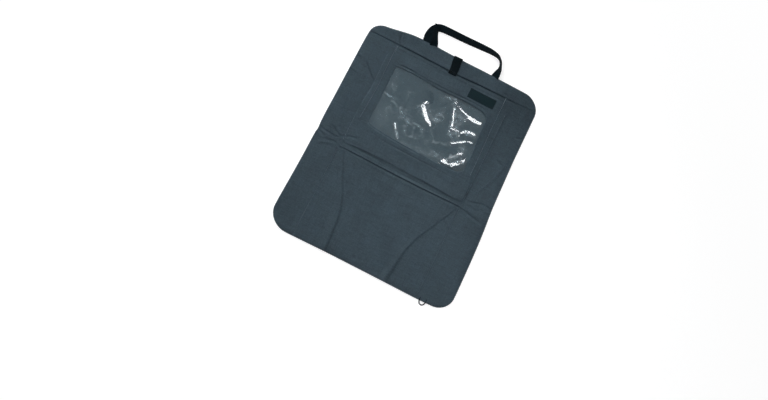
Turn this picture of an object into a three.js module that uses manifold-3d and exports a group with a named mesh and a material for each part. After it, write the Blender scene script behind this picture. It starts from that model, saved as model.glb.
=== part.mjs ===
// Protector mat for the back of a car seat, lying flat with its face up: a padded, bagged-out mat with
// a gusseted tablet pocket behind a clear window, a pleated lower pocket and a webbing headrest strap.
// Millimetres, +Z up, +Y towards the headrest. The origin is the centre of the back face.

import * as THREE from 'three';
import { mergeVertices } from 'three/addons/utils/BufferGeometryUtils.js';
import Module from 'manifold-3d';

const wasm = await Module();
wasm.setup();

// Mat outline
const matHeight = 562;
const topWidth = 448;
const bottomWidth = 490;
const cornerRadius = 46;

// Cloth, padding and the way they are sewn
const cloth = 0.8;
const seat = 0.3;
const padding = 3;
const seamAllowance = 8;
const edgeRoll = 9;
const topBandHeight = 32.5;

// Fold line across the side strips, where the mat is folded in half for packing
const creaseDepth = 1.3;
const creaseHalfWidth = 5;
const creaseFade = 14;

// Tablet pocket
const pocketHalfWidth = 146;
const pocketBottomY = -22;
const gussetWidth = 15;
const gussetFoot = 3;
const gussetHead = 6;
const gussetPinch = 9;
const pinchLength = 35;
const gussetJoinX = 55;
const tabletSpace = 5;
const hemDepth = 8;
const mouthGap = 1;
const beadWidth = 2;
const beadHeight = 0.7;

// Clear window
const windowHalfWidth = 127;
const windowHeight = 164;
const windowBottomY = 33;
const windowCorner = 16;
const film = 0.6;
const filmLap = 12;
const filmRipple = 0.7;

// Woven label, left blank
const labelWidth = 69;
const labelHeight = 23;
const labelX = 93;
const labelY = 220;

// Lower pocket, with one knife pleat at each side
const lowerHalfWidth = 163;
const lowerMouthGap = 2;
const lowerHemGap = 1.5;
const foldBottomX = 80;
const foldTopInset = 3;
const foldCurve = 2.35;
const pleatDepthTop = 2.5;
const pleatDepthBottom = 20;
const ply = 0.3;
const pocketSlack = 5.2;
const slackRise = 12;
const slackEase = 34;

// Webbing
const webbing = 20;
const webbingThickness = 1.4;
const strapRightX = 99;
const strapLeftX = -85.5;
const tailX = -63.5;
const strapReach = 50;
const sewnIn = 7;
const tabX = 0;
const tabLap = 4;

// Elastic loop in the bottom seam
const cordDiameter = 3;
const cordLoopX = bottomWidth / 2 - 68;
const cordLoopWidth = 15;
const cordLoopReach = 11;

// Levels and lines that follow from them
const matTop = matHeight / 2;
const matBottom = -matHeight / 2;
const seamZ = cloth + seat;
const faceZ = seamZ + padding + seat + cloth;
const filmZ = faceZ + tabletSpace;
const panelZ = filmZ + film + seat;
const panelTopZ = panelZ + cloth;
const bandSeamY = matTop - topBandHeight;
const pocketTopY = bandSeamY - mouthGap;
const gussetHalfWidth = pocketHalfWidth + gussetWidth;
const gussetBottomY = pocketBottomY - gussetWidth;
const lowerMouthY = gussetBottomY - lowerMouthGap;
const lowerHemY = matBottom + lowerHemGap;
const creaseLines = [pocketBottomY, gussetBottomY];
const slotZ = seamZ + webbingThickness / 2;

const TINY = 0.1;

function smooth(t) {
  const s = Math.min(Math.max(t, 0), 1);
  return s * s * (3 - 2 * s);
}

// Mat outline: half width of the mat at a height, after an inset from the sewn edge
function halfWidthAt(y, inset = 0) {
  const share = (y - matBottom) / matHeight;
  const straight = THREE.MathUtils.lerp(bottomWidth, topWidth, share) / 2;
  const fromEnd = Math.min(matTop - y, y - matBottom);
  if (fromEnd >= cornerRadius) return straight - inset;
  const radius = cornerRadius - inset;
  const rise = Math.min(cornerRadius - fromEnd, radius);
  return straight - cornerRadius + Math.sqrt(radius * radius - rise * rise);
}

function edgeDistance(x, y) {
  const share = (y - matBottom) / matHeight;
  const fromSide = THREE.MathUtils.lerp(bottomWidth, topWidth, share) / 2 - Math.abs(x);
  const fromEnd = Math.min(matTop - y, y - matBottom);
  if (fromSide >= cornerRadius || fromEnd >= cornerRadius) return Math.min(fromSide, fromEnd);
  return cornerRadius - Math.hypot(cornerRadius - fromSide, cornerRadius - fromEnd);
}

// Top of the front cover: it rolls down to the seam and dips at the fold lines of the side strips
function coverTop(x, y) {
  const inward = THREE.MathUtils.clamp(edgeDistance(x, y) / edgeRoll, 0, 1);
  const rolled = Math.sqrt(1 - (1 - inward) ** 2);
  const besidePocket = smooth((Math.abs(x) - lowerHalfWidth) / creaseFade);
  let dip = 0;
  for (const line of creaseLines) {
    dip += Math.max(0, 1 - Math.abs(y - line) / creaseHalfWidth);
  }
  return seamZ + cloth + (faceZ - seamZ - cloth - creaseDepth * dip * besidePocket) * rolled;
}

// Closed mesh from vertices and triangles, turned so that its faces point out
function closedMesh(vertices, triangles) {
  let volume = 0;
  for (const [a, b, c] of triangles) {
    const [p, q, r] = [vertices[a], vertices[b], vertices[c]];
    volume += p[0] * (q[1] * r[2] - q[2] * r[1])
      + p[1] * (q[2] * r[0] - q[0] * r[2])
      + p[2] * (q[0] * r[1] - q[1] * r[0]);
  }
  const faces = volume < 0 ? triangles.map(([a, b, c]) => [a, c, b]) : triangles;
  const geometry = new THREE.BufferGeometry();
  geometry.setAttribute('position', new THREE.Float32BufferAttribute(vertices.flat(), 3));
  geometry.setIndex(faces.flat());
  geometry.computeVertexNormals();
  return geometry;
}

// Panel lofted across rows: columns(y) gives the same number of x values at every row
function latticePanel(rows, columns, top, bottom) {
  const vertices = [];
  const triangles = [];
  const across = columns(rows[0]).length;
  for (const height of [top, bottom]) {
    for (const y of rows) {
      for (const x of columns(y)) vertices.push([x, y, height(x, y)]);
    }
  }
  const layer = rows.length * across;
  const index = (level, i, j) => level * layer + i * across + j;
  const quad = (a, b, c, d) => triangles.push([a, b, c], [a, c, d]);
  for (let i = 0; i < rows.length - 1; i += 1) {
    for (let j = 0; j < across - 1; j += 1) {
      quad(index(0, i, j), index(0, i, j + 1), index(0, i + 1, j + 1), index(0, i + 1, j));
      quad(index(1, i, j), index(1, i + 1, j), index(1, i + 1, j + 1), index(1, i, j + 1));
    }
    const last = across - 1;
    quad(index(1, i, 0), index(0, i, 0), index(0, i + 1, 0), index(1, i + 1, 0));
    quad(index(1, i + 1, last), index(0, i + 1, last), index(0, i, last), index(1, i, last));
  }
  const end = rows.length - 1;
  for (let j = 0; j < across - 1; j += 1) {
    quad(index(1, 0, j + 1), index(0, 0, j + 1), index(0, 0, j), index(1, 0, j));
    quad(index(1, end, j), index(0, end, j), index(0, end, j + 1), index(1, end, j + 1));
  }
  return closedMesh(vertices, triangles);
}

// Loft through loops of equally many points, with both ends closed
function loft(loops) {
  const vertices = loops.flat();
  const count = loops[0].length;
  const triangles = [];
  for (let k = 0; k < loops.length - 1; k += 1) {
    for (let i = 0; i < count; i += 1) {
      const j = (i + 1) % count;
      const [a, b] = [k * count + i, k * count + j];
      triangles.push([a, b, b + count], [a, b + count, a + count]);
    }
  }
  for (const [k, turn] of [[0, true], [loops.length - 1, false]]) {
    const flat = flatten(loops[k]);
    const facing = THREE.ShapeUtils.isClockWise(flat) ? !turn : turn;
    for (const [a, b, c] of THREE.ShapeUtils.triangulateShape(flat, [])) {
      const face = [k * count + a, k * count + b, k * count + c];
      triangles.push(facing ? face.reverse() : face);
    }
  }
  return closedMesh(vertices, triangles);
}

// A plane loop of points in space as points in its own plane
function flatten(loop) {
  const points = loop.map((p) => new THREE.Vector3(...p));
  const normal = new THREE.Vector3();
  points.forEach((p, i) => normal.add(p.clone().cross(points[(i + 1) % points.length])));
  normal.normalize();
  const along = points[1].clone().sub(points[0]).normalize();
  const up = normal.clone().cross(along);
  return points.map((p) => new THREE.Vector2(p.dot(along), p.dot(up)));
}

function toManifold(geometry) {
  const bare = geometry.clone();
  bare.deleteAttribute('normal');
  bare.deleteAttribute('uv');
  const merged = mergeVertices(bare);
  return new wasm.Manifold(new wasm.Mesh({
    numProp: 3,
    vertProperties: new Float32Array(merged.attributes.position.array),
    triVerts: new Uint32Array(merged.index.array),
  }));
}

function fromManifold(solid) {
  const { numProp, vertProperties, triVerts } = solid.getMesh();
  const geometry = new THREE.BufferGeometry();
  const positions = [];
  for (let i = 0; i < vertProperties.length; i += numProp) {
    positions.push(vertProperties[i], vertProperties[i + 1], vertProperties[i + 2]);
  }
  geometry.setAttribute('position', new THREE.Float32BufferAttribute(positions, 3));
  geometry.setIndex(Array.from(triVerts));
  geometry.computeVertexNormals();
  return geometry;
}

function cut(geometry, ...cutters) {
  return fromManifold(cutters.reduce((solid, cutter) => solid.subtract(toManifold(cutter)), toManifold(geometry)));
}

function join(geometry, ...others) {
  return fromManifold(others.reduce((solid, other) => solid.add(toManifold(other)), toManifold(geometry)));
}

function box(low, high) {
  const size = high.map((value, k) => value - low[k]);
  const geometry = new THREE.BoxGeometry(...size);
  geometry.translate(...low.map((value, k) => value + size[k] / 2));
  return geometry;
}

// Rows and columns of the mat's own lattice
const rollInsets = [0, 1, 3, 6, edgeRoll];
const cornerInsets = [...rollInsets, 15, 26, cornerRadius];

function between(low, high, lines) {
  const inside = lines.filter((y) => y > low + TINY && y < high - TINY);
  return [low, ...inside.sort((a, b) => a - b), high];
}

function matRows(low, high) {
  const lines = [
    ...cornerInsets.map((inset) => matBottom + inset),
    ...cornerInsets.map((inset) => matTop - inset),
    ...creaseLines.flatMap((y) => [y - creaseHalfWidth, y, y + creaseHalfWidth]),
  ];
  return between(low, high, lines);
}

function matColumns(inset, insets) {
  return (y) => {
    const half = halfWidthAt(y, inset);
    const inner = half - insets.at(-1);
    const strip = [1, 2 / 3, 1 / 3].map((share) => THREE.MathUtils.lerp(lowerHalfWidth, inner, share));
    const right = [0, lowerHalfWidth, ...strip.reverse(), ...insets.slice(0, -1).reverse().map((d) => half - d)];
    return [...right.slice(1).reverse().map((x) => -x), ...right];
  };
}

// Webbing slot: a pocket in the seam allowance that takes a strap end lying on the back panel
function seamSlot(x, width, thickness, edgeY, inward) {
  const reach = sewnIn + 2 * seat;
  const [low, high] = inward < 0 ? [edgeY - reach, edgeY + seat] : [edgeY - seat, edgeY + reach];
  return box(
    [x - width / 2 - seat, low, seamZ - seat],
    [x + width / 2 + seat, high, seamZ + thickness + seat],
  );
}

function paddingCavity(inset, low, high, top, bottom) {
  const firstRow = Math.max(low, matBottom + inset);
  const lastRow = Math.min(high, matTop - inset);
  return latticePanel(matRows(firstRow, lastRow), matColumns(inset, [0, TINY]), top, bottom);
}

function makeBackPanel() {
  const edgeColumns = (y) => [-halfWidthAt(y), halfWidthAt(y)];
  return latticePanel(matRows(matBottom, matTop), edgeColumns, () => cloth, () => 0);
}

function makePadding() {
  const inset = seamAllowance + seat;
  const top = (x, y) => coverTop(x, y) - cloth - seat;
  return paddingCavity(inset, matBottom, matTop, top, () => seamZ);
}

function makeCover(low, high, slots) {
  const shell = latticePanel(matRows(low, high), matColumns(0, rollInsets), coverTop, () => seamZ);
  const underside = (x, y) => coverTop(x, y) - cloth;
  const cavity = paddingCavity(seamAllowance, low - seat, high + seat, underside, () => seamZ - seat);
  return cut(shell, cavity, ...slots);
}

// Shape with rounded corners between two opposite corners
function roundedRectangle(shape, left, bottom, right, top, radius) {
  shape.moveTo(left + radius, bottom);
  shape.lineTo(right - radius, bottom);
  shape.absarc(right - radius, bottom + radius, radius, -Math.PI / 2, 0, false);
  shape.lineTo(right, top - radius);
  shape.absarc(right - radius, top - radius, radius, 0, Math.PI / 2, false);
  shape.lineTo(left + radius, top);
  shape.absarc(left + radius, top - radius, radius, Math.PI / 2, Math.PI, false);
  shape.lineTo(left, bottom + radius);
  shape.absarc(left + radius, bottom + radius, radius, Math.PI, 1.5 * Math.PI, false);
  return shape;
}

// Flat cloth piece with softened edges, standing on a level
function clothPiece(shape, z, thickness, soften) {
  const geometry = new THREE.ExtrudeGeometry(shape, {
    depth: thickness - 2 * soften,
    bevelThickness: soften,
    bevelSize: soften,
    bevelOffset: -soften,
    bevelSegments: 1,
    curveSegments: 5,
  });
  geometry.translate(0, 0, z + soften);
  return geometry;
}

// Sweep of a profile of [inward offset, z] points along a path with mitred corners, inward to its left.
// The profile may be a function of the path point's number.
function mitredSweep(path, profile) {
  const points = path.map(([x, y]) => new THREE.Vector2(x, y));
  const loops = points.map((point, i) => {
    const before = points[i].clone().sub(points[Math.max(i - 1, 0)]);
    const after = points[Math.min(i + 1, points.length - 1)].clone().sub(points[i]);
    const along = i === 0 ? after.normalize() : before.normalize();
    const onward = i === points.length - 1 ? along.clone() : after.normalize();
    const inward = new THREE.Vector2(-along.y - onward.y, along.x + onward.x).normalize();
    const stretch = 1 / inward.dot(new THREE.Vector2(-along.y, along.x));
    const section = typeof profile === 'function' ? profile(i) : profile;
    return section.map(([offset, z]) => [
      point.x + inward.x * offset * stretch,
      point.y + inward.y * offset * stretch,
      z,
    ]);
  });
  return loft(loops);
}

// Gusset strip: a foot sewn to the cover, a leaning wall and a head under the panel's edge. The pinch
// moves the foot in towards the panel's edge.
function gussetProfile(pinch) {
  const foot = faceZ + seat;
  const head = panelZ - seat;
  return [
    [pinch, foot],
    [gussetFoot + pinch, foot],
    [gussetWidth + cloth, head - cloth],
    [gussetWidth + gussetHead, head - cloth],
    [gussetWidth + gussetHead, head],
    [gussetWidth, head],
    [gussetFoot - cloth + pinch, foot + cloth],
    [pinch, foot + cloth],
  ];
}

function makeGussetLeft() {
  const path = [
    [-gussetHalfWidth, pocketTopY],
    [-gussetHalfWidth, pocketTopY - pinchLength],
    [-gussetHalfWidth, gussetBottomY],
    [gussetJoinX - seat / 2, gussetBottomY],
  ];
  return mitredSweep(path, (i) => gussetProfile(i === 0 ? gussetPinch : 0));
}

function makeGussetRight() {
  const path = [
    [gussetJoinX + seat / 2, gussetBottomY],
    [gussetHalfWidth, gussetBottomY],
    [gussetHalfWidth, pocketTopY - pinchLength],
    [gussetHalfWidth, pocketTopY],
  ];
  return mitredSweep(path, (i) => gussetProfile(i === 3 ? gussetPinch : 0));
}

// Window frame: one cloth piece with a turned hem at the mouth and a stitched bead along its gusset seam
function makeTabletPanel() {
  const soften = cloth / 4;
  const windowTopY = windowBottomY + windowHeight;
  const outline = roundedRectangle(
    new THREE.Shape(), -pocketHalfWidth, pocketBottomY, pocketHalfWidth, pocketTopY, beadWidth,
  );
  outline.holes.push(roundedRectangle(
    new THREE.Path(), -windowHalfWidth, windowBottomY, windowHalfWidth, windowTopY, windowCorner,
  ));
  const panel = clothPiece(outline, panelZ, cloth, soften);
  const hemHalfWidth = pocketHalfWidth - gussetHead - seat;
  const hem = box(
    [-hemHalfWidth, pocketTopY - hemDepth, panelZ - cloth + soften],
    [hemHalfWidth, pocketTopY - soften, panelTopZ - soften],
  );
  const beadPath = [
    [-pocketHalfWidth, pocketTopY - soften],
    [-pocketHalfWidth, pocketBottomY],
    [pocketHalfWidth, pocketBottomY],
    [pocketHalfWidth, pocketTopY - soften],
  ];
  const bead = mitredSweep(beadPath, [
    [soften, panelZ + soften],
    [beadWidth, panelZ + soften],
    [beadWidth * 0.8, panelTopZ + beadHeight * 0.8],
    [beadWidth * 0.5, panelTopZ + beadHeight],
    [beadWidth * 0.2, panelTopZ + beadHeight * 0.8],
  ]);
  return join(panel, hem, bead);
}

// Clear film, flat where it is sewn behind the frame and rippled inside the window
function makeWindowFilm() {
  const half = windowHalfWidth + filmLap;
  const low = windowBottomY - filmLap;
  const high = Math.min(windowBottomY + windowHeight + filmLap, pocketTopY - hemDepth - seat);
  const inset = filmLap + cloth;
  const steps = [-1, -0.8, -0.6, -0.35, -0.1, 0.15, 0.4, 0.6, 0.8, 1];
  const columns = () => [-half, ...steps.map((s) => s * (half - inset)), half];
  const middle = (low + high) / 2;
  const rows = [low, ...steps.map((s) => middle + s * ((high - low) / 2 - inset)), high];
  const ripple = (x, y) => {
    const toEdgeX = Math.max(0, half - inset - Math.abs(x));
    const toEdgeY = Math.max(0, (high - low) / 2 - inset - Math.abs(y - middle));
    const fade = smooth(Math.min(toEdgeX, toEdgeY) / windowCorner);
    return filmRipple * fade * (1 + Math.sin(x / 17 + y / 29) * Math.cos(y / 13 - x / 41)) / 2;
  };
  return latticePanel(rows, columns, (x, y) => filmZ + film + ripple(x, y), (x, y) => filmZ + ripple(x, y));
}

function makeLabel() {
  const [left, bottom] = [labelX - labelWidth / 2, labelY - labelHeight / 2];
  const outline = roundedRectangle(new THREE.Shape(), left, bottom, left + labelWidth, bottom + labelHeight, 1);
  return clothPiece(outline, panelTopZ + seat, cloth, cloth / 4);
}

// Half section of the lower pocket at a height: the cloth goes in from the side seam, turns back at the
// hidden fold, turns again at the visible fold and runs to the middle. Points are [distance from the
// middle, height above the cover]; the under face and the upper face are separate lists.
function pleatSection(y) {
  const share = (lowerMouthY - y) / (lowerMouthY - lowerHemY);
  const foldTopX = lowerHalfWidth - foldTopInset;
  const fold = foldBottomX + (foldTopX - foldBottomX) * (1 - share) ** foldCurve;
  const hidden = fold - THREE.MathUtils.lerp(pleatDepthTop, pleatDepthBottom, share);
  const pitch = cloth + ply;
  const slack = pocketSlack * smooth((y - lowerHemY) / slackEase);
  const hem = y > lowerMouthY - hemDepth ? cloth / 2 : 0;
  const turn = (centreX, centreZ, radius, side) => [-45, 0, 45].map((degrees) => {
    const angle = THREE.MathUtils.degToRad(degrees);
    return [centreX + side * radius * Math.cos(angle), centreZ + radius * Math.sin(angle)];
  });
  const innerTurnZ = cloth + ply / 2;
  const outerTurnZ = pitch + cloth + ply / 2;
  const lift = (x) => THREE.MathUtils.lerp(2 * pitch, slack, smooth((hidden - x) / slackRise));
  const spread = [hidden, hidden - slackRise / 2, hidden - slackRise, hidden / 3];
  const under = [
    [lowerHalfWidth, 0],
    [hidden, 0],
    ...turn(hidden, innerTurnZ, cloth + ply / 2, -1),
    [hidden, pitch + cloth],
    [fold, pitch + cloth],
    ...turn(fold, outerTurnZ, ply / 2, 1),
    [fold, 2 * pitch],
    ...spread.map((x) => [x, lift(x)]),
  ];
  const upper = [
    [lowerHalfWidth, cloth],
    [hidden, cloth],
    ...turn(hidden, innerTurnZ, ply / 2, -1),
    [hidden, pitch],
    [fold, pitch],
    ...turn(fold, outerTurnZ, cloth + ply / 2, 1),
    [fold, 2 * pitch + cloth],
    ...spread.map((x) => [x, lift(x) + cloth + hem]),
  ];
  return { under, upper };
}

function makeLowerPocket() {
  const bottomRolls = rollInsets.slice(1).map((inset) => matBottom + inset);
  const hemLine = lowerMouthY - hemDepth;
  const falling = [0.2, 0.35, 0.5, 0.65, 0.8].map((s) => THREE.MathUtils.lerp(lowerMouthY, lowerHemY, s));
  const easing = [0.35, 0.7, 1].map((s) => lowerHemY + slackEase * s);
  const rows = between(lowerHemY, lowerMouthY, [
    ...bottomRolls, ...easing, ...falling, hemLine, hemLine + TINY,
  ]);
  const loops = rows.map((y) => {
    const ground = coverTop(0, y) + seat;
    const { under, upper } = pleatSection(y);
    const place = (side) => ([x, z]) => [side * x, y, ground + z];
    const mirrored = (points) => [...points.map(place(-1)), ...[...points].reverse().map(place(1))];
    return [...mirrored(under), ...mirrored(upper).reverse()];
  });
  return loft(loops);
}

// Flat webbing along stations of [x, y, z, bank in degrees], where 0 lies flat and 90 stands on edge
function ribbon(stations, width, thickness, steps) {
  const centre = new THREE.CatmullRomCurve3(
    stations.map(([x, y, z]) => new THREE.Vector3(x, y, z)), false, 'centripetal',
  );
  const banks = new THREE.CatmullRomCurve3(
    stations.map(([, , , bank], i) => new THREE.Vector3(i, bank, 0)), false, 'centripetal',
  );
  const upright = new THREE.Vector3(0, 0, 1);
  const loops = [];
  let sideways = null;
  for (let i = 0; i <= steps; i += 1) {
    const t = i / steps;
    const along = centre.getTangent(t);
    const level = upright.clone().cross(along);
    if (level.length() > TINY) {
      level.normalize();
      if (sideways && sideways.dot(level) < 0) level.negate();
      sideways = level;
    }
    const raised = along.clone().cross(sideways).normalize();
    const bank = THREE.MathUtils.degToRad(banks.getPoint(t).y);
    const across = sideways.clone().multiplyScalar(Math.cos(bank)).addScaledVector(raised, Math.sin(bank));
    const through = along.clone().cross(across).normalize();
    const point = centre.getPoint(t);
    const corners = [[-1, -1], [1, -1], [1, 1], [-1, 1]];
    loops.push(corners.map(([a, b]) => point.clone()
      .addScaledVector(across, a * width / 2)
      .addScaledVector(through, b * thickness / 2)
      .toArray()));
  }
  return loft(loops);
}

// Headrest strap: out of the top seam, up on its edge round the right-hand turn, along, and back in
function makeHeadrestStrap() {
  const runY = matTop + strapReach;
  return ribbon([
    [strapRightX, matTop - sewnIn, slotZ, 0],
    [strapRightX, matTop + seamZ * 2, slotZ, 0],
    [strapRightX + strapReach * 0.04, matTop + strapReach * 0.28, webbing * 0.275, -28],
    [strapRightX + strapReach * 0.04, matTop + strapReach * 0.54, webbing * 0.545, -78],
    [strapRightX - strapReach * 0.16, runY - strapReach * 0.14, webbing * 0.54, -72],
    [strapRightX - strapReach * 0.68, runY, webbing * 0.475, -54],
    [0, runY, webbing * 0.45, -46],
    [strapLeftX + strapReach * 0.68, runY, webbing * 0.42, -38],
    [strapLeftX + strapReach * 0.22, runY - strapReach * 0.08, webbing * 0.33, -27],
    [strapLeftX, runY - strapReach * 0.42, webbing * 0.2, -14],
    [strapLeftX, matTop + strapReach * 0.24, webbing * 0.11, -4],
    [strapLeftX, matTop + seamZ * 2, slotZ, 0],
    [strapLeftX, matTop - sewnIn, slotZ, 0],
  ], webbing, webbingThickness, 56);
}

// Tail of the adjustable strap, from the seam beside the left end up to the stitched corner
function makeStrapTail() {
  const runY = matTop + strapReach;
  return ribbon([
    [tailX, matTop - sewnIn, slotZ, 0],
    [tailX, matTop + seamZ * 2, slotZ, 0],
    [tailX - strapReach * 0.1, matTop + strapReach * 0.28, webbing * 0.35, 24],
    [tailX - strapReach * 0.26, matTop + strapReach * 0.64, webbing * 0.775, 30],
    [strapLeftX + strapReach * 0.06, runY + strapReach * 0.08, webbing * 0.95, 20],
  ], webbing, webbingThickness, 20);
}

// Closing tab: from the top seam over the band and down onto the hem of the tablet pocket
function makeClosingTab() {
  const lying = faceZ + seat + webbingThickness / 2;
  const lapped = panelTopZ + seat + webbingThickness / 2;
  return ribbon([
    [tabX, matTop - sewnIn, slotZ, 0],
    [tabX, matTop + 0.6, slotZ, 0],
    [tabX, matTop + 2.6, slotZ + 1.6, 0],
    [tabX, matTop + 0.4, lying - 0.6, 0],
    [tabX, matTop - edgeRoll, lying + 0.2, 0],
    [tabX, pocketTopY + 14, lying + 0.4, 0],
    [tabX, pocketTopY + 3, lapped - 0.6, 0],
    [tabX, pocketTopY - 0.5, lapped + 0.1, 0],
    [tabX, pocketTopY - tabLap, lapped, 0],
  ], webbing, webbingThickness, 32);
}

// Elastic cord loop standing out of the bottom seam
function makeBottomLoop() {
  const half = cordLoopWidth / 2;
  const seamLevel = seamZ + cordDiameter / 2;
  const tipLevel = cordDiameter / 2 + seat;
  const route = [
    [-half, matBottom + sewnIn, seamLevel],
    [-half, matBottom - 1, seamLevel],
    [-half * 0.9, matBottom - cordLoopReach * 0.6, (seamLevel + tipLevel) / 2],
    [-half * 0.4, matBottom - cordLoopReach * 0.97, tipLevel],
    [half * 0.4, matBottom - cordLoopReach * 0.97, tipLevel],
    [half * 0.9, matBottom - cordLoopReach * 0.6, (seamLevel + tipLevel) / 2],
    [half, matBottom - 1, seamLevel],
    [half, matBottom + sewnIn, seamLevel],
  ];
  const path = new THREE.CatmullRomCurve3(route.map(([x, y, z]) => new THREE.Vector3(cordLoopX + x, y, z)));
  const section = new THREE.Shape().absarc(0, 0, cordDiameter / 2, 0, 2 * Math.PI, false);
  return new THREE.ExtrudeGeometry(section, { steps: 24, curveSegments: 4, extrudePath: path });
}

// Finishes
const finish = (color, roughness, metalness = 0) => new THREE.MeshStandardMaterial({ color, roughness, metalness });
const greyCloth = finish('#3c4951', 0.9);
const backCloth = finish('#39454c', 0.92);
const foam = finish('#8f9498', 1);
const blackWebbing = finish('#12191c', 0.75);
const labelWeave = finish('#1c2b30', 0.7);
const clearFilm = new THREE.MeshStandardMaterial({
  color: '#9aa6ad', roughness: 0.12, metalness: 0, transparent: true, opacity: 0.3,
});

const mat = new THREE.Group();

function add(name, geometry, material) {
  const mesh = new THREE.Mesh(geometry, material);
  mesh.name = name;
  mat.add(mesh);
}

const topSlots = [strapRightX, strapLeftX, tailX, tabX]
  .map((x) => seamSlot(x, webbing, webbingThickness, matTop, -1));
const bottomSlots = [-1, 1]
  .map((side) => cordLoopX + side * cordLoopWidth / 2)
  .map((x) => seamSlot(x, cordDiameter, cordDiameter, matBottom, 1));

add('back_panel', makeBackPanel(), backCloth);
add('padding', makePadding(), foam);
add('front_panel', makeCover(matBottom, bandSeamY - seat / 2, bottomSlots), greyCloth);
add('top_band', makeCover(bandSeamY + seat / 2, matTop, topSlots), greyCloth);
add('pocket_gusset_left', makeGussetLeft(), greyCloth);
add('pocket_gusset_right', makeGussetRight(), greyCloth);
add('tablet_pocket_panel', makeTabletPanel(), greyCloth);
add('window_film', makeWindowFilm(), clearFilm);
add('blank_label', makeLabel(), labelWeave);
add('lower_pocket', makeLowerPocket(), greyCloth);
add('closing_tab', makeClosingTab(), blackWebbing);
add('headrest_strap', makeHeadrestStrap(), blackWebbing);
add('strap_tail', makeStrapTail(), blackWebbing);
add('bottom_loop', makeBottomLoop(), blackWebbing);

export default mat;
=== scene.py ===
"""Looks of a protector mat for the back of a car seat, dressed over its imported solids."""

import logging
import math
from collections.abc import Sequence
from dataclasses import dataclass, field
from enum import Enum
from typing import Any

import bpy
import numpy as np
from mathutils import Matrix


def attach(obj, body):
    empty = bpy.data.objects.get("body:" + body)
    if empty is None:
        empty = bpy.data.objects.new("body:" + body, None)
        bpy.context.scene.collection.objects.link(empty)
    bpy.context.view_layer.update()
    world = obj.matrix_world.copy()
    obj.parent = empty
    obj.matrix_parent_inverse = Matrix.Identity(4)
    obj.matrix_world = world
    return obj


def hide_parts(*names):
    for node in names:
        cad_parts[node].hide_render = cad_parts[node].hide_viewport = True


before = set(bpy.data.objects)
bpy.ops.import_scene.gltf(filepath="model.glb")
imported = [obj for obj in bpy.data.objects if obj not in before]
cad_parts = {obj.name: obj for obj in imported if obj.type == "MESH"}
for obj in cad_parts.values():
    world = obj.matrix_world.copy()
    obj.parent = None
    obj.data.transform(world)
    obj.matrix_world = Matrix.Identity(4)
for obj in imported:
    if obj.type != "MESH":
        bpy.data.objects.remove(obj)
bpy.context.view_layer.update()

LOG = logging.getLogger("protector_mat")
MM = 0.001
BODY = "root"
Array = np.ndarray
Pair = tuple[float, float]
Points = Sequence[Pair]
Colour = tuple[float, float, float]
Station = tuple[float, float, float, float]
Piece = bpy.types.Object
Material = bpy.types.Material
Socket = bpy.types.NodeSocket


class Slot(Enum):
    """Material slots of the record."""

    COVER = "cover_fabric"
    BACK = "back_fabric"
    FILM = "clear_film"
    WEBBING = "webbing"
    LABEL = "label"
    ELASTIC = "elastic"


class Seam(Enum):
    """What a line of thread is for: length of a stitch, gap after it and thread radius, in millimetres."""

    TOPSTITCH = (3.0, 1.0, 0.27)
    EDGE = (3.2, 0.9, 0.46)
    BARTACK = (2.2, -1.5, 0.4)


# Number and shape helpers


def smooth(value: Array | float) -> Array:
    """Ease from 0 to 1, clamped outside."""
    t = np.clip(value, 0.0, 1.0)
    return t * t * (3.0 - 2.0 * t)


def hump(offset: Array, width: Array | float) -> Array:
    """Bell curve of height 1 round an offset of 0."""
    return np.exp(-((offset / width) ** 2))


def unit(vectors: Array) -> Array:
    """Vectors of length 1 in the same directions, one a row."""
    return vectors / np.maximum(np.linalg.norm(vectors, axis=-1, keepdims=True), 1e-9)


def run_along(points: Array) -> Array:
    """Distance of each point from the first, along the line through them."""
    return np.r_[0.0, np.cumsum(np.linalg.norm(np.diff(points, axis=0), axis=1))]


def curve_at(knots: Sequence[float], values: Any, at: Array | float) -> Array:
    """Smooth curve through the values at the knots, constant past its ends.

    Args:
        knots: Increasing positions of the knots.
        values: One number or one point for each knot.
        at: Positions to read the curve at.

    Returns:
        The curve's values at those positions.
    """
    k = np.asarray(knots, float)
    v = np.asarray(values, float)
    x = np.asarray(at, float)
    secants = np.diff(v, axis=0) / np.diff(k).reshape((-1,) + (1,) * (v.ndim - 1))
    before, after = np.concatenate([secants[:1], secants]), np.concatenate([secants, secants[-1:]])
    both = np.where(before * after > 0.0, before * after, 0.0)
    slopes = 2.0 * both / np.where(both > 0.0, before + after, 1.0)
    i = np.clip(np.searchsorted(k, x) - 1, 0, len(k) - 2)
    span = k[i + 1] - k[i]
    t = np.clip((x - k[i]) / span, 0.0, 1.0)
    if v.ndim > 1:
        t, span = t[..., None], span[..., None]
    rise = t * t * (3.0 - 2.0 * t)
    lead = span * (t**3 - 2.0 * t**2 + t)
    tail = span * (t**3 - t**2)
    return v[i] * (1.0 - rise) + v[i + 1] * rise + slopes[i] * lead + slopes[i + 1] * tail


def through(points: Points, at: Array | float) -> Array:
    """Smooth curve second(first) through pairs of numbers, in either order of the first ones."""
    pairs = sorted(points)
    return curve_at([p[0] for p in pairs], [p[1] for p in pairs], at)


def along_path(points: Any, step: float) -> Array:
    """Points about a step apart along a smooth path.

    Args:
        points: The path's knots, in any number of dimensions.
        step: Distance between two points.

    Returns:
        The points, one row each.
    """
    knots = np.asarray(points, float)
    apart = np.linalg.norm(np.diff(knots[:, :3], axis=0), axis=1) > 1e-6
    knots = knots[np.r_[True, apart]]
    reach = run_along(knots[:, :3])
    dense = curve_at(reach, knots, np.linspace(0.0, reach[-1], 40 * len(knots)))
    run = run_along(dense[:, :3])
    marks = np.linspace(0.0, run[-1], max(2, int(round(run[-1] / step)) + 1))
    return np.stack([np.interp(marks, run, column) for column in dense.T], axis=1)


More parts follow.
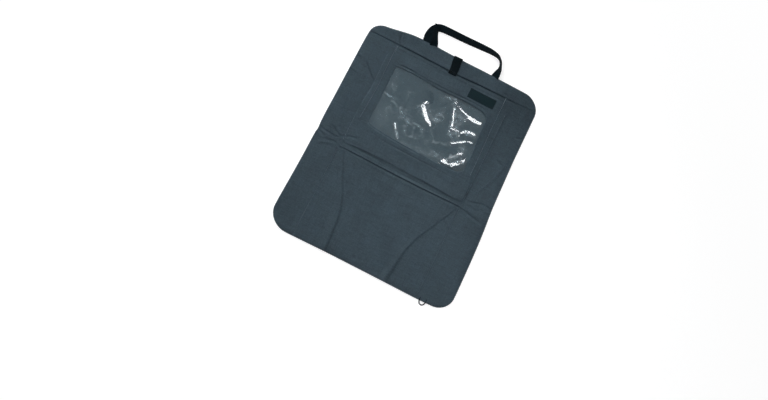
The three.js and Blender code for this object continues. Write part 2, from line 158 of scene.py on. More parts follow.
def ripples(x: Array, y: Array, size: float, seed: int) -> Array:
    """Slow uneven waves between about -1 and 1, the same on every run.

    Args:
        x: Positions across, in millimetres.
        y: Positions along, in millimetres.
        size: Mean wavelength, in millimetres.
        seed: Picks the directions and phases.

    Returns:
        The height of the waves at each position.
    """
    rng = np.random.default_rng(seed)
    total = np.zeros(np.broadcast(x, y).shape)
    waves = 9
    for _ in range(waves):
        turn, phase = rng.uniform(0.0, 2.0 * math.pi, 2)
        pitch = 2.0 * math.pi / (size * rng.uniform(0.6, 1.6))
        total += np.sin(pitch * (x * math.cos(turn) + y * math.sin(turn)) + phase)
    return total / (0.6 * waves)


def distance_to(points: Points, x: Array, y: Array) -> tuple[Array, Array, Array]:
    """Distance to a line of straight stretches.

    Args:
        points: Corners of the line.
        x: Positions across.
        y: Positions along.

    Returns:
        The distance, the share of the line's length at the nearest point, and the side (-1 or 1).
    """
    knots = np.asarray(points, float)
    before = run_along(knots)
    best = np.full(np.shape(x), np.inf)
    share = np.zeros(np.shape(x))
    side = np.ones(np.shape(x))
    for a, b, leg, start in zip(knots[:-1], knots[1:], np.diff(before), before):
        dx, dy = (b - a) / leg
        run = np.clip((x - a[0]) * dx + (y - a[1]) * dy, 0.0, leg)
        gap = np.hypot(x - a[0] - run * dx, y - a[1] - run * dy)
        near = gap < best
        best = np.where(near, gap, best)
        share = np.where(near, (start + run) / before[-1], share)
        side = np.where(near, np.where((x - a[0]) * -dy + (y - a[1]) * dx >= 0.0, 1.0, -1.0), side)
    return best, share, side


class Lamp(Enum):
    """Azimuth of a lamp over the mat and its tilt from straight above, in degrees."""

    KEY = (126.0, 60.0)
    TOP = (104.0, 40.0)
    SIDE = (218.0, 38.0)

    @property
    def toward(self) -> Pair:
        """Direction over the floor from the mat to the lamp."""
        return math.cos(math.radians(self.value[0])), math.sin(math.radians(self.value[0]))

    def facing(self, points: Points) -> float:
        """Side of a line that looks towards the lamp (-1 or 1)."""
        run = np.subtract(points[-1], points[0])
        return 1.0 if -run[1] * self.toward[0] + run[0] * self.toward[1] >= 0.0 else -1.0

    @property
    def glint_slope(self) -> float:
        """Slope of film that shows the lamp to somebody straight above."""
        return math.tan(math.radians(self.value[1] / 2.0))


@dataclass(frozen=True)
class Crease:
    """A crease or ridge in cloth. A positive depth dents it, a negative one raises it."""

    points: Points
    depth: float
    width: float
    open_start: bool = False
    open_end: bool = False

    def lift(self, x: Array, y: Array) -> Array:
        """Height that the crease adds: a steep wall towards the key lamp and a long one behind.

        Args:
            x: Positions across.
            y: Positions along.

        Returns:
            The height at each position, in millimetres.
        """
        gap, share, side = distance_to(self.points, x, y)
        wide = self.width * np.where(side * Lamp.KEY.facing(self.points) > 0.0, 0.8, 1.7)
        fade = np.ones(np.shape(x))
        if not self.open_start:
            fade = fade * smooth(share / 0.35)
        if not self.open_end:
            fade = fade * smooth((1.0 - share) / 0.35)
        dent = hump(gap, wide)
        shoulder = 0.2 * hump(gap - 2.1 * wide, wide)
        return -self.depth * fade * (dent - shoulder)


@dataclass(frozen=True)
class Crinkle:
    """A crinkle of the clear film: a flat flank that falls towards a lamp and a long back slope."""

    points: Points
    width: float
    lamp: Lamp = Lamp.TOP
    share: float = 1.0
    back: float = 9.0

    def lift(self, x: Array, y: Array) -> Array:
        """Height that the crinkle adds to the film.

        Args:
            x: Positions across.
            y: Positions along.

        Returns:
            The height at each position, in millimetres.
        """
        gap, share, side = distance_to(self.points, x, y)
        toward = gap * side * self.lamp.facing(self.points) + self.width / 2.0
        slope = self.lamp.glint_slope * self.share
        top = slope * self.width
        flank = np.clip(top - slope * toward, 0.0, top)
        slope_down = top * smooth(1.0 + toward / (self.back + 0.6 * self.width))
        fade = smooth(share / 0.12) * smooth((1.0 - share) / 0.12)
        inside = smooth(1.6 - gap / (self.back + self.width))
        return np.where(toward >= 0.0, flank, slope_down) * fade * inside


# Meshes


def dress(piece: Piece, slot: Slot, *nodes: str) -> Piece:
    """Seat a finished piece on the mat's body.

    Args:
        piece: The piece, already in place.
        slot: Not used.
        *nodes: Solids that it stands for.

    Returns:
        The same piece.
    """
    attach(piece, BODY)
    if nodes:
        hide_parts(*nodes)
    return piece


def put_in_scene(name: str, data: bpy.types.ID) -> Piece:
    """Link a new object to the scene.

    Args:
        name: Name of the object.
        data: Its mesh, light or camera.

    Returns:
        The object.
    """
    made = bpy.data.objects.new(name, data)
    bpy.context.scene.collection.objects.link(made)
    return made


def make_object(name: str, vertices: Array, faces: Sequence[Sequence[int]], material: Material,
                uvs: Array | None = None) -> Piece:
    """Make a smooth-shaded mesh object.

    Args:
        name: Name of the object and its mesh.
        vertices: Points in millimetres, one row each.
        faces: Corner indices of each face.
        material: Its material.
        uvs: Texture position of each vertex, or None.

    Returns:
        The linked object.
    """
    mesh = bpy.data.meshes.new(name)
    mesh.from_pydata((np.asarray(vertices, float) * MM).tolist(), [], [list(f) for f in faces])
    mesh.validate()
    mesh.polygons.foreach_set("use_smooth", [True] * len(mesh.polygons))
    if uvs is not None:
        layer = mesh.uv_layers.new(name="weave")
        corners = np.zeros(len(mesh.loops), np.int32)
        mesh.loops.foreach_get("vertex_index", corners)
        layer.data.foreach_set("uv", np.asarray(uvs, np.float32)[corners].ravel())
    mesh.materials.append(material)
    return put_in_scene(name, mesh)


def grid_faces(rows: int, columns: int, first: int = 0, ring: bool = False,
               flip: bool = False) -> list[list[int]]:
    """Faces of a grid of vertices.

    Args:
        rows: Number of rows.
        columns: Number of vertices in a row.
        first: Index of the first vertex.
        ring: Whether the last column joins the first.
        flip: Whether the faces turn the other way.

    Returns:
        The faces' corner indices.
    """
    faces = []
    last = columns if ring else columns - 1
    for i in range(rows - 1):
        for j in range(last):
            k = (j + 1) % columns
            face = [first + i * columns + j, first + i * columns + k,
                    first + (i + 1) * columns + k, first + (i + 1) * columns + j]
            faces.append(face[::-1] if flip else face)
    return faces


def slab(name: str, top: Array, bottom: Array, material: Material, ring: bool = False,
         uvs: Array | None = None) -> Piece:
    """Make a closed body between two grids of points.

    Args:
        name: Name of the piece.
        top: Upper points, rows by columns by 3.
        bottom: Lower points, in the same grid.
        material: Its material.
        ring: Whether the last column joins the first.
        uvs: Texture positions of the upper grid, rows by columns by 2, or None.

    Returns:
        The piece.
    """
    rows, columns = top.shape[:2]
    count = rows * columns
    faces = grid_faces(rows, columns, 0, ring) + grid_faces(rows, columns, count, ring, flip=True)
    edges = [list(range(columns)), [(rows - 1) * columns + j for j in range(columns)][::-1]]
    if ring:
        edges = [edge + edge[:1] for edge in edges]
    else:
        edges += [[i * columns for i in range(rows)][::-1], [i * columns + columns - 1 for i in range(rows)]]
    for edge in edges:
        for a, b in zip(edge[:-1], edge[1:]):
            faces.append([b, a, a + count, b + count])
    vertices = np.concatenate([top.reshape(-1, 3), bottom.reshape(-1, 3)])
    both = None if uvs is None else np.concatenate([uvs.reshape(-1, 2)] * 2)
    return make_object(name, vertices, faces, material, both)


def sweep(centres: Array, across: Array, through_cloth: Array, section: Array) -> Array:
    """Vertices of a section carried along a path.

    Args:
        centres: Path points.
        across: Unit vector of the section's first axis at each point.
        through_cloth: Unit vector of its second axis at each point.
        section: Section points.

    Returns:
        Stations by section points by 3.
    """
    return (centres[:, None, :] + across[:, None, :] * section[None, :, 0:1]
            + through_cloth[:, None, :] * section[None, :, 1:2])


def wrapped(around: Array, centres: Array) -> Array:
    """Texture positions of a swept body: shares round its section, and metres along its path."""
    return np.stack(np.broadcast_arrays(around[None, :], run_along(centres)[:, None] * MM), -1)


def tube(name: str, stations: Array, material: Material, uvs: Array | None = None) -> Piece:
    """Make a closed body from closed sections, with a cap at each end.

    Args:
        name: Name of the piece.
        stations: Sections by points by 3.
        material: Its material.
        uvs: Texture position of each point, or None.

    Returns:
        The piece.
    """
    count, sides = stations.shape[:2]
    faces = grid_faces(count, sides, 0, ring=True)
    faces.append(list(range(sides))[::-1])
    faces.append([(count - 1) * sides + j for j in range(sides)])
    flat = None if uvs is None else uvs.reshape(-1, 2)
    return make_object(name, stations.reshape(-1, 3), faces, material, flat)


def thread(name: str, lines: Sequence[tuple[Array, Seam]], material: Material) -> Piece:
    """Make the stitches of one or more seams as a single piece.

    Args:
        name: Name of the piece.
        lines: Each seam's path on the cloth, in millimetres, and its kind.
        material: The thread's material.

    Returns:
        The piece.
    """
    vertices: list[Array] = []
    faces: list[list[int]] = []
    profile = [(-0.5, -0.35, 0.5), (-0.36, 0.55, 0.9), (0.0, 1.0, 1.0), (0.36, 0.55, 0.9), (0.5, -0.35, 0.5)]
    turns = np.arange(6) * math.pi / 3.0
    for path, seam in lines:
        length, gap, radius = seam.value
        marks = along_path(path, (length + gap) / 2.0)
        for k in range(1, len(marks) - 1, 2):
            run = marks[k + 1] - marks[k - 1]
            size = np.linalg.norm(run)
            if size < 1e-6:
                continue
            along = run / size
            aside = np.cross((0.0, 0.0, 1.0), along)
            aside /= max(np.linalg.norm(aside), 1e-6)
            above = np.cross(along, aside)
            base = 6 * len(profile) * (len(vertices) // len(profile))
            for share, rise, fat in profile:
                centre = marks[k] + along * share * length + above * radius * (0.35 + 0.9 * rise)
                vertices.append(centre + radius * fat * (np.cos(turns)[:, None] * aside
                                                         + 0.8 * np.sin(turns)[:, None] * above))
            faces += grid_faces(len(profile), 6, base, ring=True)
            faces.append([base + j for j in range(6)][::-1])
            faces.append([base + 6 * (len(profile) - 1) + j for j in range(6)])
    return make_object(name, np.concatenate(vertices), faces, material)


# Materials


def linear(colour: Colour) -> tuple[float, float, float, float]:
    """Turn a colour given as screen values from 0 to 255 into linear light.

    Args:
        colour: Red, green and blue.

    Returns:
        The linear colour, with its alpha.
    """
    shares = [c / 255.0 for c in colour]
    values = [s / 12.92 if s <= 0.04045 else ((s + 0.055) / 1.055) ** 2.4 for s in shares]
    return (values[0], values[1], values[2], 1.0)


def shaded(colour: Sequence[float], share: float) -> tuple[float, float, float, float]:
    """Make a linear colour darker or lighter by a share of its light."""
    return (colour[0] * share, colour[1] * share, colour[2] * share, 1.0)


class Val:
    """A number socket of a material, so that shader maths reads as an expression."""

    def __init__(self, graph: "Graph", socket: Socket) -> None:
        """Wrap a socket of a graph."""
        self.graph = graph
        self.socket = socket

    def _math(self, operation: str, other: "Val | float | None" = None, swap: bool = False) -> "Val":
        """Add a Math node.

        Args:
            operation: The node's operation.
            other: The second number, or None.
            swap: Whether the second number comes first.

        Returns:
            The node's result.
        """
        values = [self] if other is None else [other, self] if swap else [self, other]
        made = self.graph.node("ShaderNodeMath", {"operation": operation}, dict(enumerate(values)))
        return Val(self.graph, made.outputs[0])

    def __add__(self, other: "Val | float") -> "Val":
        """Sum."""
        return self._math("ADD", other)

    __radd__ = __add__

    def __sub__(self, other: "Val | float") -> "Val":
        """Difference."""
        return self._math("SUBTRACT", other)

    def __rsub__(self, other: float) -> "Val":
        """Difference from a plain number."""
        return self._math("SUBTRACT", other, swap=True)

    def __mul__(self, other: "Val | float") -> "Val":
        """Product."""
        return self._math("MULTIPLY", other)

    __rmul__ = __mul__

    def __truediv__(self, other: "Val | float") -> "Val":
        """Quotient."""
        return self._math("DIVIDE", other)

    def __rtruediv__(self, other: float) -> "Val":
        """Quotient of a plain number."""
        return self._math("DIVIDE", other, swap=True)

    def __pow__(self, other: "Val | float") -> "Val":
        """Power."""
        return self._math("POWER", other)

    def __abs__(self) -> "Val":
        """Size without its sign."""
        return self._math("ABSOLUTE")

    def sine(self) -> "Val":
        """Sine of an angle in radians."""
        return self._math("SINE")

    def least(self, other: "Val | float") -> "Val":
        """The smaller of two numbers."""
        return self._math("MINIMUM", other)

    def most(self, other: "Val | float") -> "Val":
        """The larger of two numbers."""
        return self._math("MAXIMUM", other)

    def clamped(self, low: float = 0.0, high: float = 1.0) -> "Val":
        """The number kept between two limits."""
        return self.most(low).least(high)

    def wave(self, pitch: float) -> "Val":
        """Waves between 0 and 1 along a position, with their pitch in millimetres."""
        return (self * (2.0 * math.pi / (pitch * MM))).sine() * 0.5 + 0.5


class Graph:
    """The nodes of one material, or of the world."""

    def __init__(self, name: str, world: bool = False) -> None:
        """Start an empty material, or an empty world."""
        self.owner = bpy.data.worlds.new(name) if world else bpy.data.materials.new(name)
        self.owner.use_nodes = True
        self.tree = self.owner.node_tree
        self.tree.nodes.clear()
        self.output = "ShaderNodeOutputWorld" if world else "ShaderNodeOutputMaterial"

    def node(self, kind: str, settings: dict[str, Any], inputs: dict[Any, Any]) -> bpy.types.Node:
        """Add a node.

        Args:
            kind: Type of the node.
            settings: Its properties, set before its sockets.
            inputs: Value or link of each socket, by its name or number.

        Returns:
            The node.
        """
        made = self.tree.nodes.new(kind)
        for key, value in settings.items():
            setattr(made, key, value)
        for key, value in inputs.items():
            if isinstance(value, Val):
                value = value.socket
            if isinstance(value, Socket):
                self.tree.links.new(value, made.inputs[key])
            else:
                made.inputs[key].default_value = value
        return made

    def place(self, source: str = "Object") -> tuple[Val, Val, Val]:
        """Coordinates of the surface point, split into three numbers.

        Args:
            source: Which coordinates.

        Returns:
            The three numbers.
        """
        coordinates = self.node("ShaderNodeTexCoord", {}, {})
        split = self.node("ShaderNodeSeparateXYZ", {}, {0: coordinates.outputs[source]})
        return tuple(Val(self, split.outputs[k]) for k in range(3))

    def noise(self, stretch: tuple[float, float, float], detail: float = 2.0, source: str = "Object") -> Val:
        """Soft noise between 0 and 1.

        Args:
            stretch: Cells of noise in a metre along each axis.
            detail: Number of finer layers.
            source: Which coordinates it follows.

        Returns:
            The noise.
        """
        coordinates = self.node("ShaderNodeTexCoord", {}, {})
        scaled = self.node("ShaderNodeVectorMath", {"operation": "MULTIPLY"},
                           {0: coordinates.outputs[source], 1: stretch})
        made = self.node("ShaderNodeTexNoise", {},
                         {"Vector": scaled.outputs[0], "Scale": 1.0, "Detail": detail})
        return Val(self, made.outputs[0])

    def blend(self, factor: Val, low: Any, high: Any) -> Socket:
        """Mix two colours by a factor from 0 to 1.

        Args:
            factor: Share of the second colour.
            low: The first colour.
            high: The second colour.

        Returns:
            The mixed colour.
        """
        made = self.node("ShaderNodeMix", {"data_type": "RGBA", "clamp_factor": True},
                         {"Factor": factor, 6: low, 7: high})
        return made.outputs[2]

    def bump(self, height: Val, size: float) -> Socket:
        """Normal from a height between 0 and 1, with its size in millimetres."""
        made = self.node("ShaderNodeBump", {}, {"Distance": size * MM, "Height": height})
        return made.outputs[0]

    def close(self, shader: bpy.types.Node) -> Material | bpy.types.World:
        """Link the last shader to the output, and hand over the material or the world."""
        self.node(self.output, {}, {0: shader.outputs[0]})
        return self.owner

    def finish(self, inputs: dict[str, Any]) -> Material:
        """Close the material with a Principled shader, given the value or link of each of its sockets."""
        return self.close(self.node("ShaderNodeBsdfPrincipled", {}, inputs))


@dataclass(frozen=True)
class WovenCloth:
    """Fine canvas of heathered yarn. Colours are screen values, sizes millimetres."""

    name: str
    shade: Colour
    pitch: float = 0.75
    heather: float = 0.3
    streak: float = 0.1
    cloud: float = 0.07
    relief: float = 0.16
    # Strength of the painted shade that darkens the cloth towards the mat's top-right corner.
    corner_shade: float = 0.0
    contrast: float = 0.5

    def build(self) -> Material:
        """Make the material: yarns over and under each other, slubs in both directions, slow clouds and
        painted shade towards the mat's top-right corner.

        Returns:
            The material.
        """
        g = Graph(self.name)
        x, y, z = g.place()
        turn = 2.0 * math.pi / (self.pitch * MM)
        warp = ((x + z * 0.7) * turn).sine()
        weft = ((y + z * 0.7) * turn).sine()
        weave = warp * weft * 0.5 + 0.5
        slub = g.noise((1500.0, 130.0, 600.0)) * 0.5 + g.noise((120.0, 1400.0, 600.0)) * 0.5
        grain = g.noise((420.0, 420.0, 420.0), 3.0)
        cloud = g.noise((16.0, 16.0, 16.0), 3.0)
        streak = g.noise((38.0, 330.0, 60.0), 2.0) * 0.6 + g.noise((260.0, 30.0, 60.0), 2.0) * 0.4
        # Painted shade: the base colour darkens towards the mat's top-right corner, where the cloth lies in
        # shade.
        painted_corner_shade = (x * 9.0 - 1.0).clamped() * (y * 9.0 - 1.1).clamped() * self.corner_shade
        tone = ((slub - 0.5) * self.heather * 4.0 + (grain - 0.5) * self.heather * 1.6
                + (cloud - 0.5) * self.cloud * 4.0 + (streak - 0.5) * self.streak * 6.0
                + (weave - 0.5) * 0.12 + 0.5 - painted_corner_shade)
        middle = linear(self.shade)
        dark, light = shaded(middle, 1.0 - self.contrast), shaded(middle, 1.0 + self.contrast)
        height = weave * 0.7 + slub * 0.5
        return g.finish({
            "Base Color": g.blend(tone.clamped(), dark, light),
            "Roughness": 0.9,
            "Specular IOR Level": 0.1,
            "Normal": g.bump(height, self.relief),
        })


@dataclass(frozen=True)
class BlackWebbing:
    """Ribbed webbing: U runs across in shares of its width, V along it in metres."""

    name: str = "black_webbing"
    shade: Colour = (12.0, 22.0, 27.0)
    ribs: int = 15
    pick: float = 1.25

    def build(self) -> Material:
        """Make the material: lengthwise ribs, picks slanted in turn like a herringbone, and a dull sheen.

        Returns:
            The material.
        """
        g = Graph(self.name)
        u, v, _ = g.place("UV")
        rib = abs((u * (math.pi * self.ribs)).sine())
        slant = abs((u * math.pi * self.ribs / 2.0).sine())
        pick = ((v / (self.pick * MM) + slant * 0.6) * 2.0 * math.pi).sine() * 0.5 + 0.5
        wear = g.noise((160.0, 160.0, 160.0), 3.0)
        height = rib * 0.6 + pick * 0.4
        base = linear(self.shade)
        return g.finish({
            "Base Color": g.blend((height * 0.5 + wear * 0.5).least(1.0) ** 2.0, base, shaded(base, 2.1)),
            "Roughness": 0.7,
            "Specular IOR Level": 0.06,
            "Normal": g.bump(height, 0.22),
        })


@dataclass(frozen=True)
class ClearFilm:
    """Soft clear film with a hazy surface."""

    name: str = "clear_film"
    haze: Colour = (82.0, 107.0, 119.0)
    # Pale colour of the milk: partly the film's own milky patches, partly painted reflection beside the
    # glints.
    milk_and_reflection: Colour = (150.0, 170.0, 180.0)
    thinnest: float = 0.29

    def build(self) -> Material:
        """Make the material: mostly clear, with a thin haze in patches, a glossy skin, and pale milk from a
        surface attribute that is partly the film's own milky patches and partly painted reflection beside the
        glints.

        Returns:
            The material.
        """
        g = Graph(self.name)
        patch = g.noise((28.0, 28.0, 28.0), 4.0)
        smear = g.noise((90.0, 30.0, 60.0), 2.0)
        haze = ((patch - 0.38) * 1.7).clamped()
        # Pale milk laid along given lines: partly the film's own milky patches, partly painted reflection
        # beside the glints.
        milk_and_reflection_node = g.node("ShaderNodeAttribute", {"attribute_name": "milk_and_reflection_share"}, {})
        wisps = (g.noise((150.0, 150.0, 150.0), 5.0) - 0.36) * 3.2
        milk_and_reflection = Val(g, milk_and_reflection_node.outputs["Fac"]) * (wisps.most(0.0) + 0.35)
        return g.finish({
            "Base Color": g.blend((milk_and_reflection.most(0.0) * 1.4).least(1.0), linear(self.haze), linear(self.milk_and_reflection)),
            "Roughness": 0.16 + 0.14 * (1.0 - smear).most(0.0),
            "IOR": 2.0,
            "Coat Weight": 1.0,
            "Coat IOR": 2.2,
            "Coat Roughness": 0.05,
            "Alpha": (milk_and_reflection * 0.36 + haze * 0.14 + self.thinnest).clamped(0.1, 0.9),
        })


@dataclass(frozen=True)
class LabelWeave:
    """Dense dark label weave with fine cross lines and nothing on it."""

    name: str = "label_weave"
    shade: Colour = (17.0, 34.0, 39.0)

    def build(self) -> Material:
        """Make the material: fine lines both ways and an even grain.

        Returns:
            The material.
        """
        g = Graph(self.name)
        x, y, _ = g.place()
        lines, cross = y.wave(0.45), x.wave(0.3)
        grain = g.noise((700.0, 700.0, 700.0), 2.0)
        base = linear(self.shade)
        return g.finish({
            "Base Color": g.blend(lines * 0.35 + grain * 0.65, shaded(base, 0.7), shaded(base, 1.5)),
            "Roughness": 0.6,
            "Specular IOR Level": 0.1,
            "Normal": g.bump(lines * 0.6 + cross * 0.4, 0.08),
        })


@dataclass(frozen=True)
class SewingThread:
    """Polyester thread in the shade of the cloth."""

    name: str
    shade: Colour

    def build(self) -> Material:
        """Make the material: two plies twisted round each other.

        Returns:
            The material.
        """
        g = Graph(self.name)
        x, y, z = g.place()
        twist = (x + y * 1.3 + z).wave(0.5)
        base = linear(self.shade)
        return g.finish({
            "Base Color": g.blend(twist, shaded(base, 0.75), base),
            "Roughness": 0.65,
            "Specular IOR Level": 0.15,
            "Normal": g.bump(twist, 0.06),
        })


@dataclass(frozen=True)
class BraidedElastic:
    """Braided elastic cord: U runs round it, V along it in metres."""

    name: str = "braided_elastic"
    shade: Colour = (14.0, 20.0, 23.0)

    def build(self) -> Material:
        """Make the material: strands that cross each other at a slant.

        Returns:
            The material.
        """
        g = Graph(self.name)
        u, v, _ = g.place("UV")
        right = ((v / (2.2 * MM) + u * 4.0) * 2.0 * math.pi).sine()
        left = ((v / (2.2 * MM) - u * 4.0) * 2.0 * math.pi).sine()
        braid = right * left * 0.5 + 0.5
        base = linear(self.shade)
        return g.finish({
            "Base Color": g.blend(braid, base, shaded(base, 2.4)),
            "Roughness": 0.7,
            "Specular IOR Level": 0.08,
            "Normal": g.bump(braid, 0.25),
        })


# The mat


@dataclass
class MatOutline:
    """Outline of the mat, in millimetres: each side as a line through measured points, and corner radii."""

    half_width: float = 230.0
    half_height: float = 281.0
    top: Points = (
        (-224, 275.5), (-205, 276), (-185, 277.8), (-170, 280.2), (-150, 283.4), (-125, 286.3), (-98, 287),
        (-44, 285), (8, 283), (59, 282.2), (107, 281), (138, 280), (188, 278), (224, 275.5),
    )
    bottom: Points = (
        (-246, -273), (-203, -276.5), (-176, -278.2), (-88, -278.6), (0, -280.2), (75, -282), (164, -284),
        (240, -282),
    )
    left: Points = (
        (281, -222.5), (256, -223.2), (227, -226), (144, -229.6), (87, -231.6), (3, -234.6), (-17, -233.8),
        (-26, -235.6), (-74, -237.8), (-106, -239.2), (-215, -245.8), (-281, -248.5),
    )
    right: Points = (
        (281, 225), (174, 226.2), (121, 226.8), (64, 228.8), (-6, 231.4), (-18, 232.3), (-60, 236),
        (-88, 238), (-143, 240.6), (-193, 242.2), (-230, 243), (-281, 243.4),
    )
    top_left_radius: float = 32.0
    top_right_radius: float = 44.0
    bottom_left_radius: float = 48.0
    bottom_right_radius: float = 38.0

    def side_reach(self, q: Array, right_side: bool) -> Array:
        """Half width of the plain rounded shape at each height, on one side.

        Args:
            q: Positions along the plain shape.
            right_side: Whether it is the right side.

        Returns:
            The half widths.
        """
        top_radius = self.top_right_radius if right_side else self.top_left_radius
        low_radius = self.bottom_right_radius if right_side else self.bottom_left_radius
        radius = np.where(q > 0, top_radius, low_radius)
        rise = np.clip(radius - (self.half_height - np.abs(q)), 0.0, radius)
        return self.half_width - radius + np.sqrt(radius**2 - rise**2)

    def place(self, p: Array, q: Array) -> tuple[Array, Array]:
        """Turn plain positions into positions on the mat.

        Args:
            p: Across the plain shape.
            q: Along the plain shape.

        Returns:
            Positions across and along the mat.
        """
        top = through(self.top, p)
        bottom = through(self.bottom, p)
        y = q * np.where(q > 0, top, -bottom) / self.half_height
        x = p * np.where(p > 0, through(self.right, y), -through(self.left, y)) / self.half_width
        return x, y

    def inset(self, x: Array, y: Array) -> Array:
        """Distance in from the edge at each position on the mat.

        Args:
            x: Positions across.
            y: Positions along.

        Returns:
            The distances, negative outside.
        """
        top = through(self.top, x) - y
        bottom = y - through(self.bottom, x)
        left = x - through(self.left, y)
        right = through(self.right, y) - x
        inward = np.minimum(np.minimum(top, bottom), np.minimum(left, right))
        for end, side, radius in (
                (top, left, self.top_left_radius), (top, right, self.top_right_radius),
                (bottom, left, self.bottom_left_radius), (bottom, right, self.bottom_right_radius)):
            corner = (end < radius) & (side < radius)
            inward = np.where(corner, radius - np.hypot(radius - end, radius - side), inward)
        return inward


@dataclass
class PaddedMat:
    """The bagged-out mat: back cloth, cover over thin foam and the band above the top seam."""

    outline: MatOutline = field(default_factory=MatOutline)
    cloth: float = 0.8
    seam_level: float = 1.1
    face_level: float = 5.2
    roll: float = 11.0
    low_roll: float = 7.0
    seam: Points = (
        (-224, 249.3), (-170, 248.9), (-130, 248.5), (-110, 248), (-90, 247.5), (-70, 246.8), (-50, 246.2),
        (-30, 245.5), (-10, 244.7), (30, 244.6), (50, 245), (70, 246), (90, 245.6), (110, 245.5),
        (150, 245.5), (190, 246.1), (224, 246.8),
    )
    seam_share: float = 248.6 / 280.5
    seam_gap: float = 0.12
    seam_draw: float = 30.0
    seam_dent: float = 1.2
    mouth_dent: float = 1.1
    seam_shoulder: float = 0.5
    slow_wave: float = 0.42
    fine_wave: float = 0.16
    corner_droop: float = 2.6
    strip_droop: float = 1.3
    spacing: float = 1.3
    row_spacing: float = 1.7
    creases: tuple[Crease, ...] = (
        Crease(((-232, 184.6), (-219, 183.6), (-209, 179.4)), 3.6, 2.0, open_start=True),
        Crease(((-205, 184), (-192, 171.6), (-178.5, 158), (-164, 145), (-155, 136)), 4.4, 2.1),
        Crease(((-232, 147.4), (-217, 146.2), (-203, 140.5)), 3.2, 2.0, open_start=True),
        Crease(((-207, 126), (-192, 133), (-172, 142)), -1.0, 3.4),
        Crease(((-198, 150), (-182, 142), (-170, 134)), 1.0, 3.2),
        Crease(((-231, 101), (-222, 103), (-213, 101)), 0.9, 2.4, open_start=True),
        Crease(((-209.5, 104), (-203.6, 76), (-196.8, 44), (-185.5, 12), (-174, -8)), 1.3, 1.5),
        Crease(((-207, 104), (-201, 76), (-194.2, 44), (-183, 12), (-171.5, -8)), -0.9, 1.3),
        Crease(((-214, 7), (-204, 4), (-196, 0), (-190, -4.5), (-180, -9), (-172, -11)), 3.0, 2.2),
        Crease(((-184, -10), (-174, -8), (-164, -4.5), (-150, -0.5)), 2.8, 1.8, open_end=True),
        Crease(((-236, -8.5), (-218, -12.8), (-196, -15.4), (-174, -16)), 2.4, 2.0, open_start=True),
        Crease(((-236, -16), (-225, -20), (-210, -26)), 2.4, 2.0, open_start=True),
        Crease(((-222, -38), (-206, -30.6), (-187, -27.5), (-169, -32)), 2.3, 1.9),
        Crease(((-192, -11), (-184, -15), (-176, -12.5), (-170, -9)), 1.8, 1.5),
        Crease(((-236, -12), (-222, -16.5), (-208, -19.5), (-192, -22)), -1.8, 2.4, open_start=True),
        Crease(((-214, 4), (-205, -3), (-190, -8)), -0.9, 2.2),
        Crease(((-226, -47), (-212, -42), (-198, -37), (-180, -35)), -1.4, 2.4),
        Crease(((203, 170), (212.5, 171.6), (227, 178.5)), 1.9, 1.9, open_end=True),
        Crease(((184, 104), (195, 100), (208, 94)), 1.0, 2.6),
        Crease(((219, 140), (213.9, 103), (203.6, 60), (190, 30), (171.8, -1.5), (163, -14)), -1.3, 1.5),
        Crease(((152, -18), (172, -17.4), (187.5, -13.5), (201, -9.5), (212, -9.5), (236, -14.5)), 1.9, 2.2,
               open_end=True),
        Crease(((158, -21), (170, -26), (178, -27), (233, -28)), 0.9, 1.6, open_end=True),
        Crease(((163.6, 212), (163.4, 100), (163.2, 20), (162.2, -14)), 0.75, 1.5,
               open_start=True, open_end=True),
        Crease(((146, -39), (160, -40.8), (176, -43), (194, -47), (208, -50), (228, -53)), 2.3, 2.2),
        Crease(((166, -23), (190, -20), (231, -22)), -0.5, 2.2, open_end=True),
        Crease(((166, -36), (190, -40), (231, -43)), -0.4, 2.4, open_end=True),
        Crease(((206.5, -23.5), (210.5, -22.5)), 2.0, 1.6, open_start=True, open_end=True),
        Crease(((-153, 284), (-150, 275), (-146, 255)), 2.3, 1.8, open_start=True, open_end=True),
        Crease(((62, 277), (57, 269), (47, 256)), 1.2, 2.0),
        Crease(((-96, 285), (-100, 275), (-105, 262)), 1.0, 2.2, open_start=True),
        Crease(((138, 280), (138, 268), (141, 254)), 2.0, 1.8, open_start=True, open_end=True),
        Crease(((196, 270), (207, 262), (214, 252)), 0.8, 3.0),
        Crease(((-214, -205), (-205, -232), (-188, -252)), 0.8, 5.0),
        Crease(((186, -205), (205, -222), (228, -236)), 1.0, 5.0),
        Crease(((200, -255), (215, -246), (232, -240)), 1.0, 3.0, open_end=True),
        Crease(((-178, -60), (-196, -120), (-200, -180)), 0.6, 7.0),
        Crease(((176, -80), (200, -130), (214, -190)), 0.7, 7.0),
    )

    def seam_line(self, x: Array | float) -> Array:
        """Height of the top seam across the mat."""
        return through(self.seam, x)

